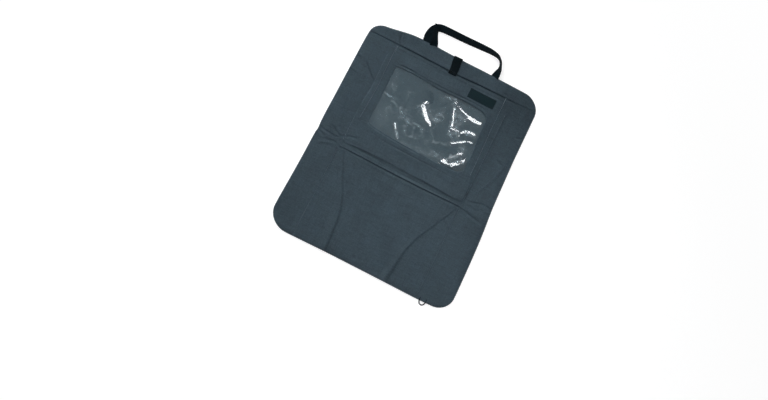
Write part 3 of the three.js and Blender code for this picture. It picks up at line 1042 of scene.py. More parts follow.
    def surface(self, x: Array, y: Array, folds: bool = True) -> Array:
        """Level of the cover's upper face.

        Args:
            x: Positions across.
            y: Positions along.
            folds: Whether creases and slow waves count.

        Returns:
            The level at each position, in millimetres.
        """
        roll = self.roll + self.low_roll * smooth((-262.0 - y) / 10.0)
        inward = np.clip(self.outline.inset(x, y) / roll, 0.0, 1.0)
        rolled = np.sqrt(1.0 - (1.0 - inward) ** 2)
        base = self.seam_level + self.cloth
        raised = self.face_level - base
        from_seam = np.abs(y - self.seam_line(x))
        at_mouth = smooth((152.0 - np.abs(x)) / 45.0)
        dent = self.seam_dent + self.mouth_dent * at_mouth
        raised = raised - dent * hump(from_seam, 1.0 + 0.6 * at_mouth)
        raised = raised + self.seam_shoulder * hump(from_seam - 3.6, 1.9)
        if folds:
            under_pockets = (np.abs(x) < 156.0) & (y < 240.0)
            waves = self.slow_wave * ripples(x, y, 62.0, 4) + self.fine_wave * ripples(x, y, 19.0, 9)
            folded = sum(crease.lift(x, y) for crease in self.creases)
            drooped = -self.corner_droop * smooth((x - 110.0) / 130.0) * smooth((y - 120.0) / 130.0)
            high = 0.4 + 0.6 * smooth((y + 50.0) / 40.0)
            beside = smooth((x - 158.0) / 13.0) * (1.0 - 0.7 * smooth((x - 176.0) / 40.0))
            drooped -= self.strip_droop * high * beside
            raised = np.maximum(raised + np.where(under_pockets, 0.0, waves) + folded + drooped, 0.1)
        return base + raised * rolled

    def columns(self, low: float, high: float) -> Array:
        """Positions across, close together near both edges and in the strips beside the pockets.

        Args:
            low: The left end.
            high: The right end.

        Returns:
            The positions, from left to right.
        """
        ends = np.array([0.0, 0.35, 0.9, 1.7, 2.8, 4.2, 5.9, 8.0])
        strip = np.arange(10.0, 82.0, self.spacing)
        inner = np.linspace(low + 84.0, high - 84.0, 96)
        return np.concatenate([low + ends, low + strip, inner, (high - strip)[::-1], (high - ends)[::-1]])

    def lattice(self, rows: Array) -> tuple[Array, Array]:
        """Positions of a grid that follows the outline, for rows of the plain shape.

        Args:
            rows: Rows of the plain shape.

        Returns:
            Positions across and along, rows by columns.
        """
        half = self.outline.half_width
        share = (self.columns(-half, half) / half)[None, :]
        q = np.repeat(rows[:, None], share.shape[1], axis=1)
        right = self.outline.side_reach(q, True)
        left = self.outline.side_reach(q, False)
        return self.outline.place(share * np.where(share > 0, right, left), q)

    def rows(self) -> Array:
        """Rows of the plain shape, close together near both ends.

        Returns:
            The rows, from the bottom up.
        """
        half = self.outline.half_height
        ends = np.array([0.0, 0.3, 0.8, 1.6, 2.6, 4.0, 5.8, 8.0, 10.5, 13.5])
        inner = np.linspace(-half + 16.0, half - 16.0, int((2.0 * half - 32.0) / self.row_spacing))
        return np.concatenate([-half + ends, inner, (half - ends)[::-1]])

    def split_rows(self) -> tuple[Array, Array]:
        """Rows of the cover and of the band, which meet at the top seam.

        Returns:
            The cover's rows and the band's rows.
        """
        seam = self.seam_share * self.outline.half_height
        rows = self.rows()
        near = np.array([0.15, 0.7, 1.4, 2.4])
        low = rows[rows < seam - 3.0]
        high = rows[rows > seam + 3.0]
        return np.concatenate([low, seam - near[::-1]]), np.concatenate([seam + near, high])

    def drawn_to_seam(self, x: Array, y: Array, rows: Array, below: bool) -> Array:
        """Move the rows beside the top seam so that they run along it.

        Args:
            x: Positions across.
            y: Positions along.
            rows: Rows of the plain shape.
            below: Whether they lie below the seam.

        Returns:
            The new positions along.
        """
        first = rows[-1] if below else rows[0]
        reach = np.clip(1.0 - np.abs(rows - first) / self.seam_draw, 0.0, 1.0)[:, None]
        edge = y[-1] if below else y[0]
        gap = -self.seam_gap if below else self.seam_gap
        return y + (self.seam_line(x) + gap - edge[None, :]) * reach

    def make_cover(self, name: str, rows: Array, below: bool, material: Material) -> Piece:
        """Make the cover or the band: cloth over foam down to the seam allowance.

        Args:
            name: Name of the piece.
            rows: Its rows of the plain shape.
            below: Whether it lies below the top seam.
            material: Its material.

        Returns:
            The piece.
        """
        x, y = self.lattice(rows)
        y = self.drawn_to_seam(x, y, rows, below)
        z = self.surface(x, y)
        under = np.full_like(z, self.seam_level - 0.2)
        return slab(name, np.stack([x, y, z], -1), np.stack([x, y, under], -1), material)

    def make_back(self, material: Material) -> Piece:
        """Make the back cloth, with a rounded edge and slow waves that stay off the floor.

        Args:
            material: Its material.

        Returns:
            The piece.
        """
        x, y = self.lattice(self.rows()[::2])
        inward = np.clip(self.outline.inset(x, y) / 2.0, 0.0, 1.0)
        level = self.seam_level - 0.25 - 0.35 * (1.0 - inward) ** 2
        waves = 0.12 * (1.0 + ripples(x, y, 55.0, 21)) * smooth(self.outline.inset(x, y) / 20.0)
        floor = np.clip(0.02 + waves + 0.3 * (1.0 - inward) ** 2, 0.0, 0.5)
        return slab("back_cloth", np.stack([x, y, level], -1), np.stack([x, y, floor], -1), material)

    def build(self, cover: Material, back: Material, sewing: Material) -> None:
        """Build the mat's three pieces and its seam stitches.

        Args:
            cover: Material of the cover and the band.
            back: Material of the back cloth.
            sewing: Material of the thread.
        """
        low, high = self.split_rows()
        front = dress(self.make_cover("mat_cover", low, True, cover), Slot.COVER, "front_panel", "padding")
        band = dress(self.make_cover("mat_top_band", high, False, cover), Slot.COVER, "top_band")
        plain = dress(self.make_back(back), Slot.BACK, "back_panel")
        across = np.linspace(-217.0, 217.0, 160)
        raised = self.seam_line(across) + 2.6
        path = np.stack([across, raised, self.surface(across, raised) + 0.05], -1)
        dress(thread("top_seam_stitches", [(path, Seam.TOPSTITCH)], sewing), Slot.COVER)
        LOG.info("mat: cover, band, back cloth and top seam")


# The tablet pocket


@dataclass
class TabletPocket:
    """Pocket with a clear window: cloth frame, gusset in two parts, film and a bare label."""

    mat: PaddedMat
    cloth: float = 0.8
    lift: float = 9.0
    side_level: float = 6.7
    side_ease: float = 62.0
    corner_level: float = 6.2
    corner_ease: float = 60.0
    centre: Pair = (-1.0, 116.0)
    mouth: Points = (
        (-151, 247.2), (-130, 247.2), (-110, 246.7), (-90, 246.2), (-70, 245.5), (-50, 244.9), (-30, 244.2),
        (-10, 243.4), (30, 243.3), (50, 243.7), (70, 244.7), (90, 244.3), (110, 244.2), (147, 244.2),
    )
    left: Points = (
        (250, -149.8), (190, -149.9), (130, -149.6), (110, -150.6), (90, -152), (70, -153.6), (56, -154.8),
        (51, -155.5), (46, -158), (40, -162), (34, -164), (-22, -166),
    )
    right: Points = (
        (250, 145.3), (160, 145.3), (140, 146.2), (120, 146.9), (60, 148.2), (44, 148.6), (36, 151.5),
        (28, 155.6), (20, 157), (-28, 157.4),
    )
    bottom: Points = (
        (-166, -22.3), (-150, -22.1), (-130, -21.4), (-110, -21.1), (-50, -21.9), (-30, -22.5),
        (-10, -23.5), (10, -24.5), (30, -25.2), (50, -25), (70, -26.2), (90, -27.1), (110, -28.4),
        (130, -28.8), (156, -27.6),
    )
    foot_left: Points = (
        (250, -152), (236, -154), (222, -160), (210, -162), (170, -161.8), (130, -161.5), (110, -163),
        (90, -165.6), (50, -167.6), (-22, -168.6), (-40, -169.2),
    )
    foot_right: Points = (
        (250, 148), (230, 151), (213, 160.4), (180, 160.8), (60, 161), (20, 160.6), (-22, 159.8),
        (-40, 159.4),
    )
    foot_bottom: Points = (
        (-170, -34.2), (-140, -34.4), (-120, -35), (-100, -35.6), (-60, -37), (-20, -38.1), (20, -38.8),
        (60, -39.3), (158, -39.2),
    )
    join: float = 54.0
    window: Points = (
        (-128.6, 194), (-127, 199.2), (-119, 200.8), (-90, 200.8), (-70, 199.5), (-50, 197.2), (-30, 195),
        (-10, 193.8), (10, 194.2), (60, 195.4), (84, 194), (99, 192.6), (110, 189.6), (119, 183),
        (123, 174), (124.2, 160), (125.6, 120), (128.2, 80), (128.4, 52), (125, 41), (114, 35), (98, 33.4),
        (60, 33.2), (30, 34.6), (-10, 36.2), (-50, 38.4), (-92, 41.6), (-121, 45.8), (-127.8, 50),
        (-130.2, 58), (-129.8, 100), (-129, 150),
    )
    mouth_ends: Pair = (-147.3, 143.6)
    right_ends: Pair = (248.4, -26.0)
    bottom_ends: Pair = (153.6, -162.7)
    left_ends: Pair = (-20.0, 249.8)
    strip_joins: tuple[Points, ...] = (
        ((-148, 199.6), (-127, 199.6)), ((-160, 47.5), (-130, 46.5)), ((125, 192), (146, 193.5)),
        ((128, 34), (152, 32)),
    )
    label_centre: Pair = (91.5, 219.9)
    label_size: Pair = (69.0, 23.6)
    label_turn: float = -1.3
    bead: float = 0.45
    bead_groove: float = 0.3
    hem: float = 0.45
    hem_groove: float = 0.5
    join_groove: float = 0.55
    strip_sink: float = 0.7
    window_turn: float = 0.75
    film_drop: float = 2.15
    film_thickness: float = 0.4
    film_x: Pair = (-134.0, 132.6)
    film_y: Pair = (25.0, 206.6)
    film_step: float = 1.3
    gusset_steps: tuple[float, ...] = (
        0.0, 0.08, 0.16, 0.24, 0.32, 0.38, 0.44, 0.5, 0.56, 0.64, 0.7, 0.75, 0.8, 0.84, 0.87, 0.9, 0.92, 0.94,
        0.96, 0.98, 1.0,
    )
    creases: tuple[Crease, ...] = (
        Crease(((44, -3), (48, -9), (54, -19)), 0.9, 1.8),
        Crease(((122, 194), (130, 188), (139, 180)), 1.0, 2.0),
        Crease(((121, 191), (130, 191), (138, 189.5)), 0.7, 1.6),
        Crease(((-176, -8), (-162, -4), (-150, -0.5), (-130, 3)), 2.4, 1.9),
        Crease(((-104, -21), (-60, -23), (0, -25.5), (20, -28)), 0.8, 1.6),
        Crease(((-100, 246), (-98, 232), (-90, 216)), 0.3, 5.0),
        Crease(((20, 238), (26, 222), (22, 206)), 0.4, 5.0),
        Crease(((-60, 12), (-20, 4), (10, 6)), 0.4, 6.0),
        Crease(((70, 8), (100, 0), (130, 2)), 0.4, 5.0),
    )
    window_seams: tuple[tuple[Points, float], ...] = (
        (((-128, 204), (-118, 206.9), (-92, 207.1), (-76, 206.4)), 2.2),
        (((-88, 207), (-60, 205.4), (-40, 203.4), (-20, 202.4), (0, 202), (40, 202.2), (70, 203), (99, 201.4),
          (118, 197), (130, 187)), 1.1),
        (((-126, 37), (-102, 28.6), (-71, 24), (-38, 22.4), (30, 20.4), (90, 19), (126, 18)), 0.55),
    )
    crinkles: tuple[Crinkle, ...] = (
        Crinkle(((-35, 150), (-20, 132.5), (-8, 119.5), (14, 101)), 11.0, Lamp.SIDE, 1.06),
        Crinkle(((36, 183.5), (46, 178.5), (60, 173), (76, 168.5), (96, 165)), 6.6, share=0.95),
        Crinkle(((76, 166), (104, 163.5), (130, 165)), 10.0),
        Crinkle(((35, 186), (43, 165), (50, 146), (58, 123)), 6.0, Lamp.SIDE, 1.17, 4.0),
        Crinkle(((53, 125), (68, 123.5), (80, 124)), 6.0),
        Crinkle(((74, 117), (88.3, 129), (100, 134.5), (113.3, 134), (130, 125)), 7.0),
        Crinkle(((66, 87), (90.8, 102.5), (104, 111.5), (129, 115.5)), 6.0),
        Crinkle(((76, 49), (86, 60), (96, 69.5), (110, 82)), 8.0),
        Crinkle(((66, 46), (84, 44), (104, 38)), 12.0),
        Crinkle(((86, 38), (104, 52.5), (116, 64), (132, 76)), 13.0),
        Crinkle(((-84, 86), (-46.7, 95.5), (-28.3, 92.5), (14, 91)), 4.5, share=0.62),
        Crinkle(((-74, 80), (-61, 58), (-47, 38)), 4.5, Lamp.SIDE, 1.0),
        Crinkle(((-133, 131), (-124, 130), (-110, 127)), 4.5, share=0.84),
        Crinkle(((-96, 123), (-74, 110), (-48, 97)), 4.0, share=0.45),
        Crinkle(((-12, 101), (8, 118), (34, 139)), 6.0, share=0.5),
        Crinkle(((12, 38), (36, 43), (70, 57)), 7.0, share=0.4),
        Crinkle(((30, 62), (60, 70), (86, 83)), 7.0, share=0.4),
        Crinkle(((-2, 58), (10, 69), (24, 84)), 5.0, share=0.45),
        Crinkle(((-34, 186), (-18, 170), (-9, 150)), 7.0, Lamp.SIDE, 0.5),
    )
    # Lines of pale milk on the film (line, width, weight; negative weights clear it): partly milky film,
    # partly painted reflection beside the glints.
    milk_and_reflection_lines: tuple[tuple[Points, float, float], ...] = (
        (((-131, 131), (-119, 130.5), (-106, 129)), 3.0, 0.6),
        (((-109, 129), (-80, 114.5), (-57, 98)), 6.0, 0.35),
        (((-58, 98), (-28, 92), (4, 90)), 5.0, 0.45),
        (((-75, 87), (-66, 92), (-56, 99)), 5.0, 0.35),
        (((-76, 80), (-61, 59), (-47, 42)), 6.0, 0.45),
        (((6, 122), (20, 134), (27, 148)), 8.0, 0.4),
        (((15, 165), (19, 150), (16, 134)), 8.0, 0.25),
        (((-38, 150), (-24, 136), (6, 108)), 11.0, 0.5),
        (((52, 172), (68, 150), (64, 128)), 9.0, 0.5),
        (((38, 182), (48, 156), (56, 126), (78, 120)), 6.0, 0.5),
        (((52, 110), (66, 112), (84, 118)), 7.0, 0.4),
        (((6, 56), (20, 72), (58, 83), (80, 98)), 5.5, 0.35),
        (((-40, 55), (-12, 66), (8, 80)), 6.0, 0.25),
        (((-49, 98), (-45, 79), (-41, 55)), 5.0, 0.25),
        (((-8, 40), (20, 42), (58, 50), (80, 44)), 6.0, 0.35),
        (((-46, 40), (-26, 38), (-4, 38)), 6.0, 0.3),
        (((2, 178), (17, 188), (44, 194)), 7.0, 0.4),
        (((-126, 160), (-116, 154), (-102, 150)), 10.0, 0.35),
        (((-122, 60), (-100, 80), (-88, 110)), 18.0, 0.2),
        (((88, 104), (106, 92), (104, 76)), 8.0, 0.45),
        (((84, 50), (100, 60), (122, 70)), 14.0, 0.5),
        (((70, 168), (92, 160), (124, 158)), 9.0, 0.4),
        (((84, 124), (104, 134), (124, 124)), 7.0, 0.5),
        (((32, 62), (58, 69), (86, 80)), 6.0, -0.3),
        (((-36, 183), (-22, 172), (-10, 152)), 4.5, -0.9),
        (((-118, 188), (-114, 187), (-110, 186)), 5.0, -0.4),
    )

    def panel_level(self, x: Array, y: Array) -> Array:
        """Level of the frame's upper face, drawn down to the band at both ends of the mouth.

        Args:
            x: Positions across.
            y: Positions along.

        Returns:
            The level at each position, in millimetres.
        """
        from_mouth = through(self.mouth, x) - y
        to_side = np.minimum(x - through(self.left, y), through(self.right, y) - x)
        from_corner = np.hypot(np.maximum(from_mouth, 0.0), np.maximum(to_side, 0.0))
        held = np.exp(-((from_corner / self.corner_ease) ** 2) * 3.0)
        top = self.cloth + self.side_level + (self.lift - self.side_level) * smooth(to_side / self.side_ease)
        waves = 0.35 * ripples(x, y, 70.0, 33) + 0.12 * ripples(x, y, 24.0, 35)
        folded = sum(crease.lift(x, y) for crease in self.creases)
        return top - (top - self.corner_level - self.cloth) * held + waves + folded

    def polar(self, loop: Array, angles: Array) -> Array:
        """Distance from the pocket's centre to a loop, in each direction.

        Args:
            loop: Points of the loop.
            angles: Directions, in radians.

        Returns:
            The distances.
        """
        offset = loop - np.array(self.centre)
        around = np.arctan2(offset[:, 1], offset[:, 0])
        order = np.argsort(around)
        return np.interp(angles, around[order], np.hypot(*offset.T)[order], period=2.0 * math.pi)

    def frame_loop(self) -> tuple[Array, Array]:
        """Outer edge of the cloth frame as a dense loop.

        Returns:
            The loop's points and the corners.
        """
        t = np.linspace(0.0, 1.0, 260, endpoint=False)
        sides = []
        for line, (start, end), level in (
                (self.mouth, self.mouth_ends, True), (self.right, self.right_ends, False),
                (self.bottom, self.bottom_ends, True), (self.left, self.left_ends, False)):
            run = start + t * (end - start)
            sides.append(np.stack([run, through(line, run)] if level else [through(line, run), run], -1))
        return np.concatenate(sides), np.array([side[0] for side in sides])

    def window_loop(self) -> Array:
        """Edge of the window as a dense closed loop.

        Returns:
            The loop's points.
        """
        knots = np.array(list(self.window) + list(self.window[:3]), float)
        loop = along_path(knots, 0.7)
        return loop[np.hypot(*(loop - knots[2]).T) > 0.5]

    def make_frame(self, material: Material) -> Piece:
        """Make the cloth frame as rings from the window's edge to the gusset seam.

        Args:
            material: Its material.

        Returns:
            The piece.
        """
        outer, corners = self.frame_loop()
        inner = self.window_loop()
        corner_angles = np.arctan2(corners[:, 1] - self.centre[1], corners[:, 0] - self.centre[0])
        angles = np.sort(np.concatenate([np.linspace(-math.pi, math.pi, 620, endpoint=False), corner_angles]))
        near, far = self.polar(inner, angles), self.polar(outer, angles)
        width = (far - near)[None, :]
        from_hole = np.array([0.0, 0.25, 0.7, 1.3, 2.1, 3.2, 4.5])
        from_edge = np.array([6.0, 4.6, 3.4, 2.5, 1.7, 1.1, 0.6, 0.2, 0.0])
        middle = np.linspace(0.0, 1.0, 30)[1:-1][:, None]
        steps = np.concatenate([from_hole[:, None] + 0.0 * width,
                                5.0 + middle * (width - 11.5), width - from_edge[:, None]])
        radius = near[None, :] + steps
        x = self.centre[0] + radius * np.cos(angles)[None, :]
        y = self.centre[1] + radius * np.sin(angles)[None, :]
        z = self.panel_level(x, y) + self.frame_relief(x, y, steps, width)
        edge = np.maximum(steps[-1:] - steps, 0.0)
        thick = self.cloth + 0.3 * hump(edge, 2.5)
        return slab("tablet_pocket_frame", np.stack([x, y, z], -1),
                    np.stack([x, y, z - thick], -1), material, ring=True)

    def low_fall(self, x: Array, y: Array) -> Array:
        """Drop of the frame's lower edge towards the band between the pockets."""
        to_side = np.minimum(x - through(self.left, y), through(self.right, y) - x)
        return 1.2 + 1.2 * smooth(to_side / self.side_ease)

    def frame_relief(self, x: Array, y: Array, from_window: Array, width: Array) -> Array:
        """Relief of the frame: turned window edge, its seam, strip joins, mouth hem and gusset bead.

        Args:
            x: Positions across.
            y: Positions along.
            from_window: Distances from the window's edge.
            width: Width of the frame in the same directions.

        Returns:
            The height at each position, in millimetres.
        """
        left_strip = smooth((-118.0 - x) / 8.0) * smooth((y - 47.0) / 1.2) * smooth((199.6 - y) / 1.2)
        rim = smooth(from_window / 1.6) - 1.0
        upper = smooth((y - 150.0) / 40.0)
        lower = smooth((80.0 - y) / 40.0)
        leftward = smooth((20.0 - x) / 60.0)
        turned = self.window_turn + (0.5 + 1.5 * leftward) * upper
        turned = turned * (1.0 - left_strip * (1.0 - upper)) * rim
        beside = hump(from_window - 2.6, 1.6)
        turned = turned + 0.3 * upper * beside - 1.3 * lower * smooth((44.0 - x) / 50.0) * beside
        sewn = sum(Crease(line, depth, 1.4).lift(x, y) for line, depth in self.window_seams)
        sunk = -self.strip_sink * left_strip * smooth(1.0 - from_window / 15.0)
        to_edge = width - from_window
        from_mouth = through(self.mouth, x) - y
        at_mouth = from_mouth < np.minimum(x - through(self.left, y), through(self.right, y) - x) - 0.3
        at_low = smooth((9.0 - (y - through(self.bottom, x))) / 7.0)
        bead = self.bead * (1.0 - at_low) * np.sqrt(np.clip(1.0 - ((to_edge - 1.3) / 1.3) ** 2, 0.0, 1.0))
        fallen = self.low_fall(x, y)
        bead = bead - at_low * fallen * (1.0 - smooth(to_edge / (3.0 + 1.6 * fallen)))
        stitched = -self.bead_groove * (1.0 - at_low) * hump(to_edge - 3.4, 0.8)
        hem = self.hem * smooth((8.2 - from_mouth) / 1.2) - self.hem_groove * hump(from_mouth - 7.0, 0.8)
        hem = hem - 0.8 * (1.0 - smooth(from_mouth / 0.9))
        joins = np.zeros_like(x)
        for join in self.strip_joins:
            gap, _, _ = distance_to(join, x, y)
            joins -= self.join_groove * hump(gap, 0.9)
        edging = np.where(at_mouth, hem, np.where(to_edge < 8.0, bead + stitched, 0.0))
        return turned + sewn + sunk + joins + edging

    def gusset_part(self, name: str, inner: Array, outer: Array, material: Material, folds: bool) -> Piece:
        """Make a part of the gusset between the frame's edge and the foot seam.

        Args:
            name: Name of the part.
            inner: Its line under the frame's edge, point by point.
            outer: Its foot line, with as many points.
            material: Its material.
            folds: Whether a fold runs along its middle.

        Returns:
            The part.
        """
        share = np.array(self.gusset_steps)[:, None]
        x = inner[None, :, 0] * (1.0 - share) + outer[None, :, 0] * share
        y = inner[None, :, 1] * (1.0 - share) + outer[None, :, 1] * share
        at_low = smooth((9.0 - (inner[:, 1] - through(self.bottom, inner[:, 0]))) / 7.0)
        fallen = self.low_fall(inner[:, 0], inner[:, 1]) * at_low
        under_edge = (self.panel_level(inner[:, 0], inner[:, 1]) - 0.45 - fallen)[None, :]
        foot = self.mat.surface(outer[:, 0], outer[:, 1])[None, :] + 0.35 + 0.3 * at_low[None, :]
        wide = np.hypot(*(outer - inner).T)[None, :]
        to_foot = (1.0 - share) * wide
        steep = 0.55 + 0.3 * (1.0 - at_low[None, :])
        fall = steep * share + (1.0 - steep * share) * (1.0 - smooth(to_foot / np.minimum(2.6, 0.5 * wide)))
        z = under_edge + (foot - under_edge) * fall
        spread = 0.8 + 0.6 * at_low[None, :]
        z = z + (0.5 + 1.3 * at_low[None, :]) * hump(to_foot - 1.9 * spread, spread) * smooth(wide / 6.0)
        if folds:
            fold = self.fold_share(inner[:, 0])[None, :]
            z = z - 0.9 * hump((share - fold) * wide, 0.9) * smooth(wide / 9.0) * smooth((fold - 0.1) / 0.1)
        z = z + 0.15 * ripples(x, y, 17.0, 52)
        top = np.stack([x, y, z], -1)
        return slab(name, top, top - np.array([0.0, 0.0, self.cloth]), material)

    def fold_share(self, x: Array) -> Array:
        """Where the fold along the gusset's bottom strip lies, as a share of its width, or 0 for none."""
        return np.where(x > -120.0, 0.18 + 0.22 * smooth((x + 120.0) / 110.0), 0.0)

    def gusset_lines(self) -> tuple[Array, Array, int]:
        """Lines of the gusset, from the left end of the mouth round to the right end.

        Returns:
            The line under the frame's edge, the foot line, and the join's index in both.
        """
        runs = []
        for left, low, right, inset in ((self.left, self.bottom, self.right, 1.1),
                                        (self.foot_left, self.foot_bottom, self.foot_right, 0.0)):
            top_y = 246.0
            low_left = through(low, -164.0)
            low_right = through(low, 156.0)
            down = np.linspace(top_y, low_left + inset, 130)
            start, end = float(through(left, low_left)) + inset, float(through(right, low_right)) - inset
            over = np.linspace(start, end, 150)
            up = np.linspace(low_right + inset, top_y, 130)
            runs.append(np.concatenate([
                np.stack([through(left, down) + inset, down], -1),
                np.stack([over, through(low, over) + inset], -1)[1:-1],
                np.stack([through(right, up) - inset, up], -1),
            ]))
        inner, outer = runs
        nearest = int(np.argmin(np.abs(inner[130:278, 0] - self.join))) + 130
        return inner, outer, nearest

    def make_gusset(self, material: Material) -> None:
        """Make both parts of the gusset, with the join lapped in the bottom strip.

        Args:
            material: Their material.
        """
        inner, outer, join = self.gusset_lines()
        left = self.gusset_part("pocket_gusset_left_part", inner[:join + 2], outer[:join + 2], material, True)
        right = self.gusset_part("pocket_gusset_right_part", inner[join:], outer[join:], material, False)
        dress(left, Slot.COVER, "pocket_gusset_left")
        dress(right, Slot.COVER, "pocket_gusset_right")

    def make_film(self, material: Material) -> Piece:
        """Make the film: flat behind the frame, crinkled inside the window, with pale milk stored on its
        points that is partly painted reflection beside the glints.

        Args:
            material: Its material.

        Returns:
            The piece.
        """
        x, y = np.meshgrid(np.arange(*self.film_x, self.film_step), np.arange(*self.film_y, self.film_step))
        out_x, out_y = x - self.centre[0], y - self.centre[1]
        edge = self.polar(self.window_loop(), np.arctan2(out_y, out_x).ravel()).reshape(x.shape)
        inside = smooth((edge - np.hypot(out_x, out_y)) / 9.0)
        crinkled = np.max(np.stack([c.lift(x, y) for c in self.crinkles]), axis=0)
        slow = 0.4 * ripples(x, y, 40.0, 61) * (1.0 - 0.85 * smooth(crinkled / 0.6))
        fine = 0.05 * ripples(x, y, 13.0, 63) + 0.016 * ripples(x, y, 6.0, 65)
        z = self.panel_level(x, y) - self.film_drop + inside * (crinkled + slow + fine)
        top = np.stack([x, y, z], -1)
        film = slab("window_film_sheet", top, top - np.array([0.0, 0.0, self.film_thickness]), material)
        wisp = np.clip(1.0 - 1.6 * np.abs(ripples(x, y, 34.0, 81)), 0.0, 1.0) ** 3
        cloud = 0.3 * wisp * np.clip(0.5 + ripples(x, y, 50.0, 83), 0.0, 1.2)
        blown_x = x + 3.4 * ripples(x, y, 16.0, 85) + 1.6 * ripples(x, y, 7.0, 87)
        blown_y = y + 3.4 * ripples(x, y, 16.0, 86) + 1.6 * ripples(x, y, 7.0, 88)
        ragged = 1.0 + 0.6 * ripples(x, y, 9.0, 67)
        # Random wisps of real milk, plus pale milk along the lines, which is partly painted reflection beside
        # the glints.
        for line, wide, weight in self.milk_and_reflection_lines:
            gap, share, _ = distance_to(line, blown_x, blown_y)
            ends = smooth(share / 0.15) * smooth((1.0 - share) / 0.15)
            cloud += weight * ragged * hump(gap, wide) * ends
        layer = film.data.attributes.new("milk_and_reflection_share", "FLOAT", "POINT")
        layer.data.foreach_set("value", np.tile(cloud.ravel(), 2).astype(np.float32))
        return film

    def make_label(self, material: Material, sewing: Material) -> None:
        """Make the bare label and the stitches round it.

        Args:
            material: The label's material.
            sewing: The thread's material.
        """
        half_w, half_h = self.label_size[0] / 2.0, self.label_size[1] / 2.0
        ends = np.array([0.0, 0.3, 0.9])
        uu, vv = np.meshgrid(*(
            np.concatenate([-half + ends, np.linspace(-half + 2.0, half - 2.0, count), (half - ends)[::-1]])
            for half, count in ((half_w, 34), (half_h, 12))))
        turn = math.radians(self.label_turn)

        def on_panel(a: Array, b: Array, above: Array | float) -> Array:
            """Points of the label's own plane laid on the frame.

            Args:
                a: Positions across the label.
                b: Positions up the label.
                above: Height over the frame.

            Returns:
                The points.
            """
            x = self.label_centre[0] + a * math.cos(turn) - b * math.sin(turn)
            y = self.label_centre[1] + a * math.sin(turn) + b * math.cos(turn)
            return np.stack([x, y, self.panel_level(x, y) + above], -1)

        inward = np.minimum(half_w - np.abs(uu), half_h - np.abs(vv))
        above = 0.35 + 0.6 * smooth(inward / 0.9) - 0.25 * hump(inward - 1.9, 0.5)
        top = on_panel(uu, vv, above)
        piece = slab("bare_label", top, on_panel(uu, vv, -0.1), material)
        dress(piece, Slot.LABEL, "blank_label")
        w, h = half_w - 1.9, half_h - 1.9
        corners = [(-w, -h), (w, -h), (w, h), (-w, h), (-w, -h)]
        lines = []
        for (a0, b0), (a1, b1) in zip(corners[:-1], corners[1:]):
            t = np.linspace(0.0, 1.0, 30)
            lines.append((on_panel(a0 + (a1 - a0) * t, b0 + (b1 - b0) * t, 0.75), Seam.TOPSTITCH))
        dress(thread("label_stitches", lines, sewing), Slot.LABEL)

    def on_frame(self, line: Array, above: float = 0.0) -> Array:
        """Lift a line of positions onto the frame."""
        return np.column_stack([line, self.panel_level(line[:, 0], line[:, 1]) + above])

    def make_stitches(self, sewing: Material, dark_sewing: Material) -> None:
        """Make the stitches of the window, the mouth hem, the gusset's edges and the bar-tacks.

        Args:
            sewing: Thread of the edges and the bar-tacks, pale as painted highlight along the raised edges.
            dark_sewing: Thread of the window, the hem and the lower edge, whose dark colour is painted shade
                of the sewn grooves.
        """
        sunk: list[tuple[Array, Seam]] = []
        for seam, _ in self.window_seams:
            path = along_path([(px, py, 0.0) for px, py in seam], 4.0)[2:-2, :2]
            sunk.append((self.on_frame(path, -0.75), Seam.EDGE))
        for edge, start, end, aside, above in ((self.mouth, -141.0, 138.0, -7.0, -0.1),
                                               (self.bottom, -158.0, 149.0, 4.0, -0.3)):
            across = np.linspace(start, end, 90)
            path = np.stack([across, through(edge, across) + aside], -1)
            sunk.append((self.on_frame(path, above), Seam.TOPSTITCH))
        # These stitches are dark thread whose colour paints the shade of the grooves beside them.
        dress(thread("window_stitches", sunk, dark_sewing), Slot.COVER)
        lines: list[tuple[Array, Seam]] = []
        for edge, way, top, low in (
                (self.left, 1.0, 246.0, 50.0), (self.right, -1.0, 246.0, 40.0),
                (self.foot_left, 1.0, 219.0, -16.0), (self.foot_right, -1.0, 211.0, -22.0)):
            down = np.linspace(top, low, 90)
            x = through(edge, down) + way * 1.3
            on_edge = edge in (self.left, self.right)
            level = self.panel_level(x, down) + 0.5 if on_edge else self.mat.surface(x, down) + 0.75
            lines.append((np.stack([x, down, level], -1), Seam.EDGE if on_edge else Seam.TOPSTITCH))
        for x in (-146.3, 143.6):
            tack = np.stack([np.full(12, x), np.linspace(230.5, 246.5, 12)], -1)
            lines.append((self.on_frame(tack, 0.5), Seam.BARTACK))
        dress(thread("tablet_pocket_stitches", lines, sewing), Slot.COVER)

    def build(self, cover: Material, film: Material, label: Material, sewing: Material,
              shadow_line_sewing: Material, dark_sewing: Material) -> None:
        """Build the pocket.

        Args:
            cover: Material of the cloth.
            film: Material of the window.
            label: Material of the label.
            sewing: Pale thread on the cloth's edges, its pale colour a painted highlight along the raised
                edges.
            shadow_line_sewing: Dark thread round the window, whose dark colour is painted shade of the sewn
                grooves.
            dark_sewing: Thread on the label.
        """
        panel = dress(self.make_frame(cover), Slot.COVER, "tablet_pocket_panel")
        self.make_gusset(cover)
        clear = dress(self.make_film(film), Slot.FILM, "window_film")
        self.make_label(label, dark_sewing)
        self.make_stitches(sewing, shadow_line_sewing)
        LOG.info("tablet pocket: frame, gusset, film, label and stitches")


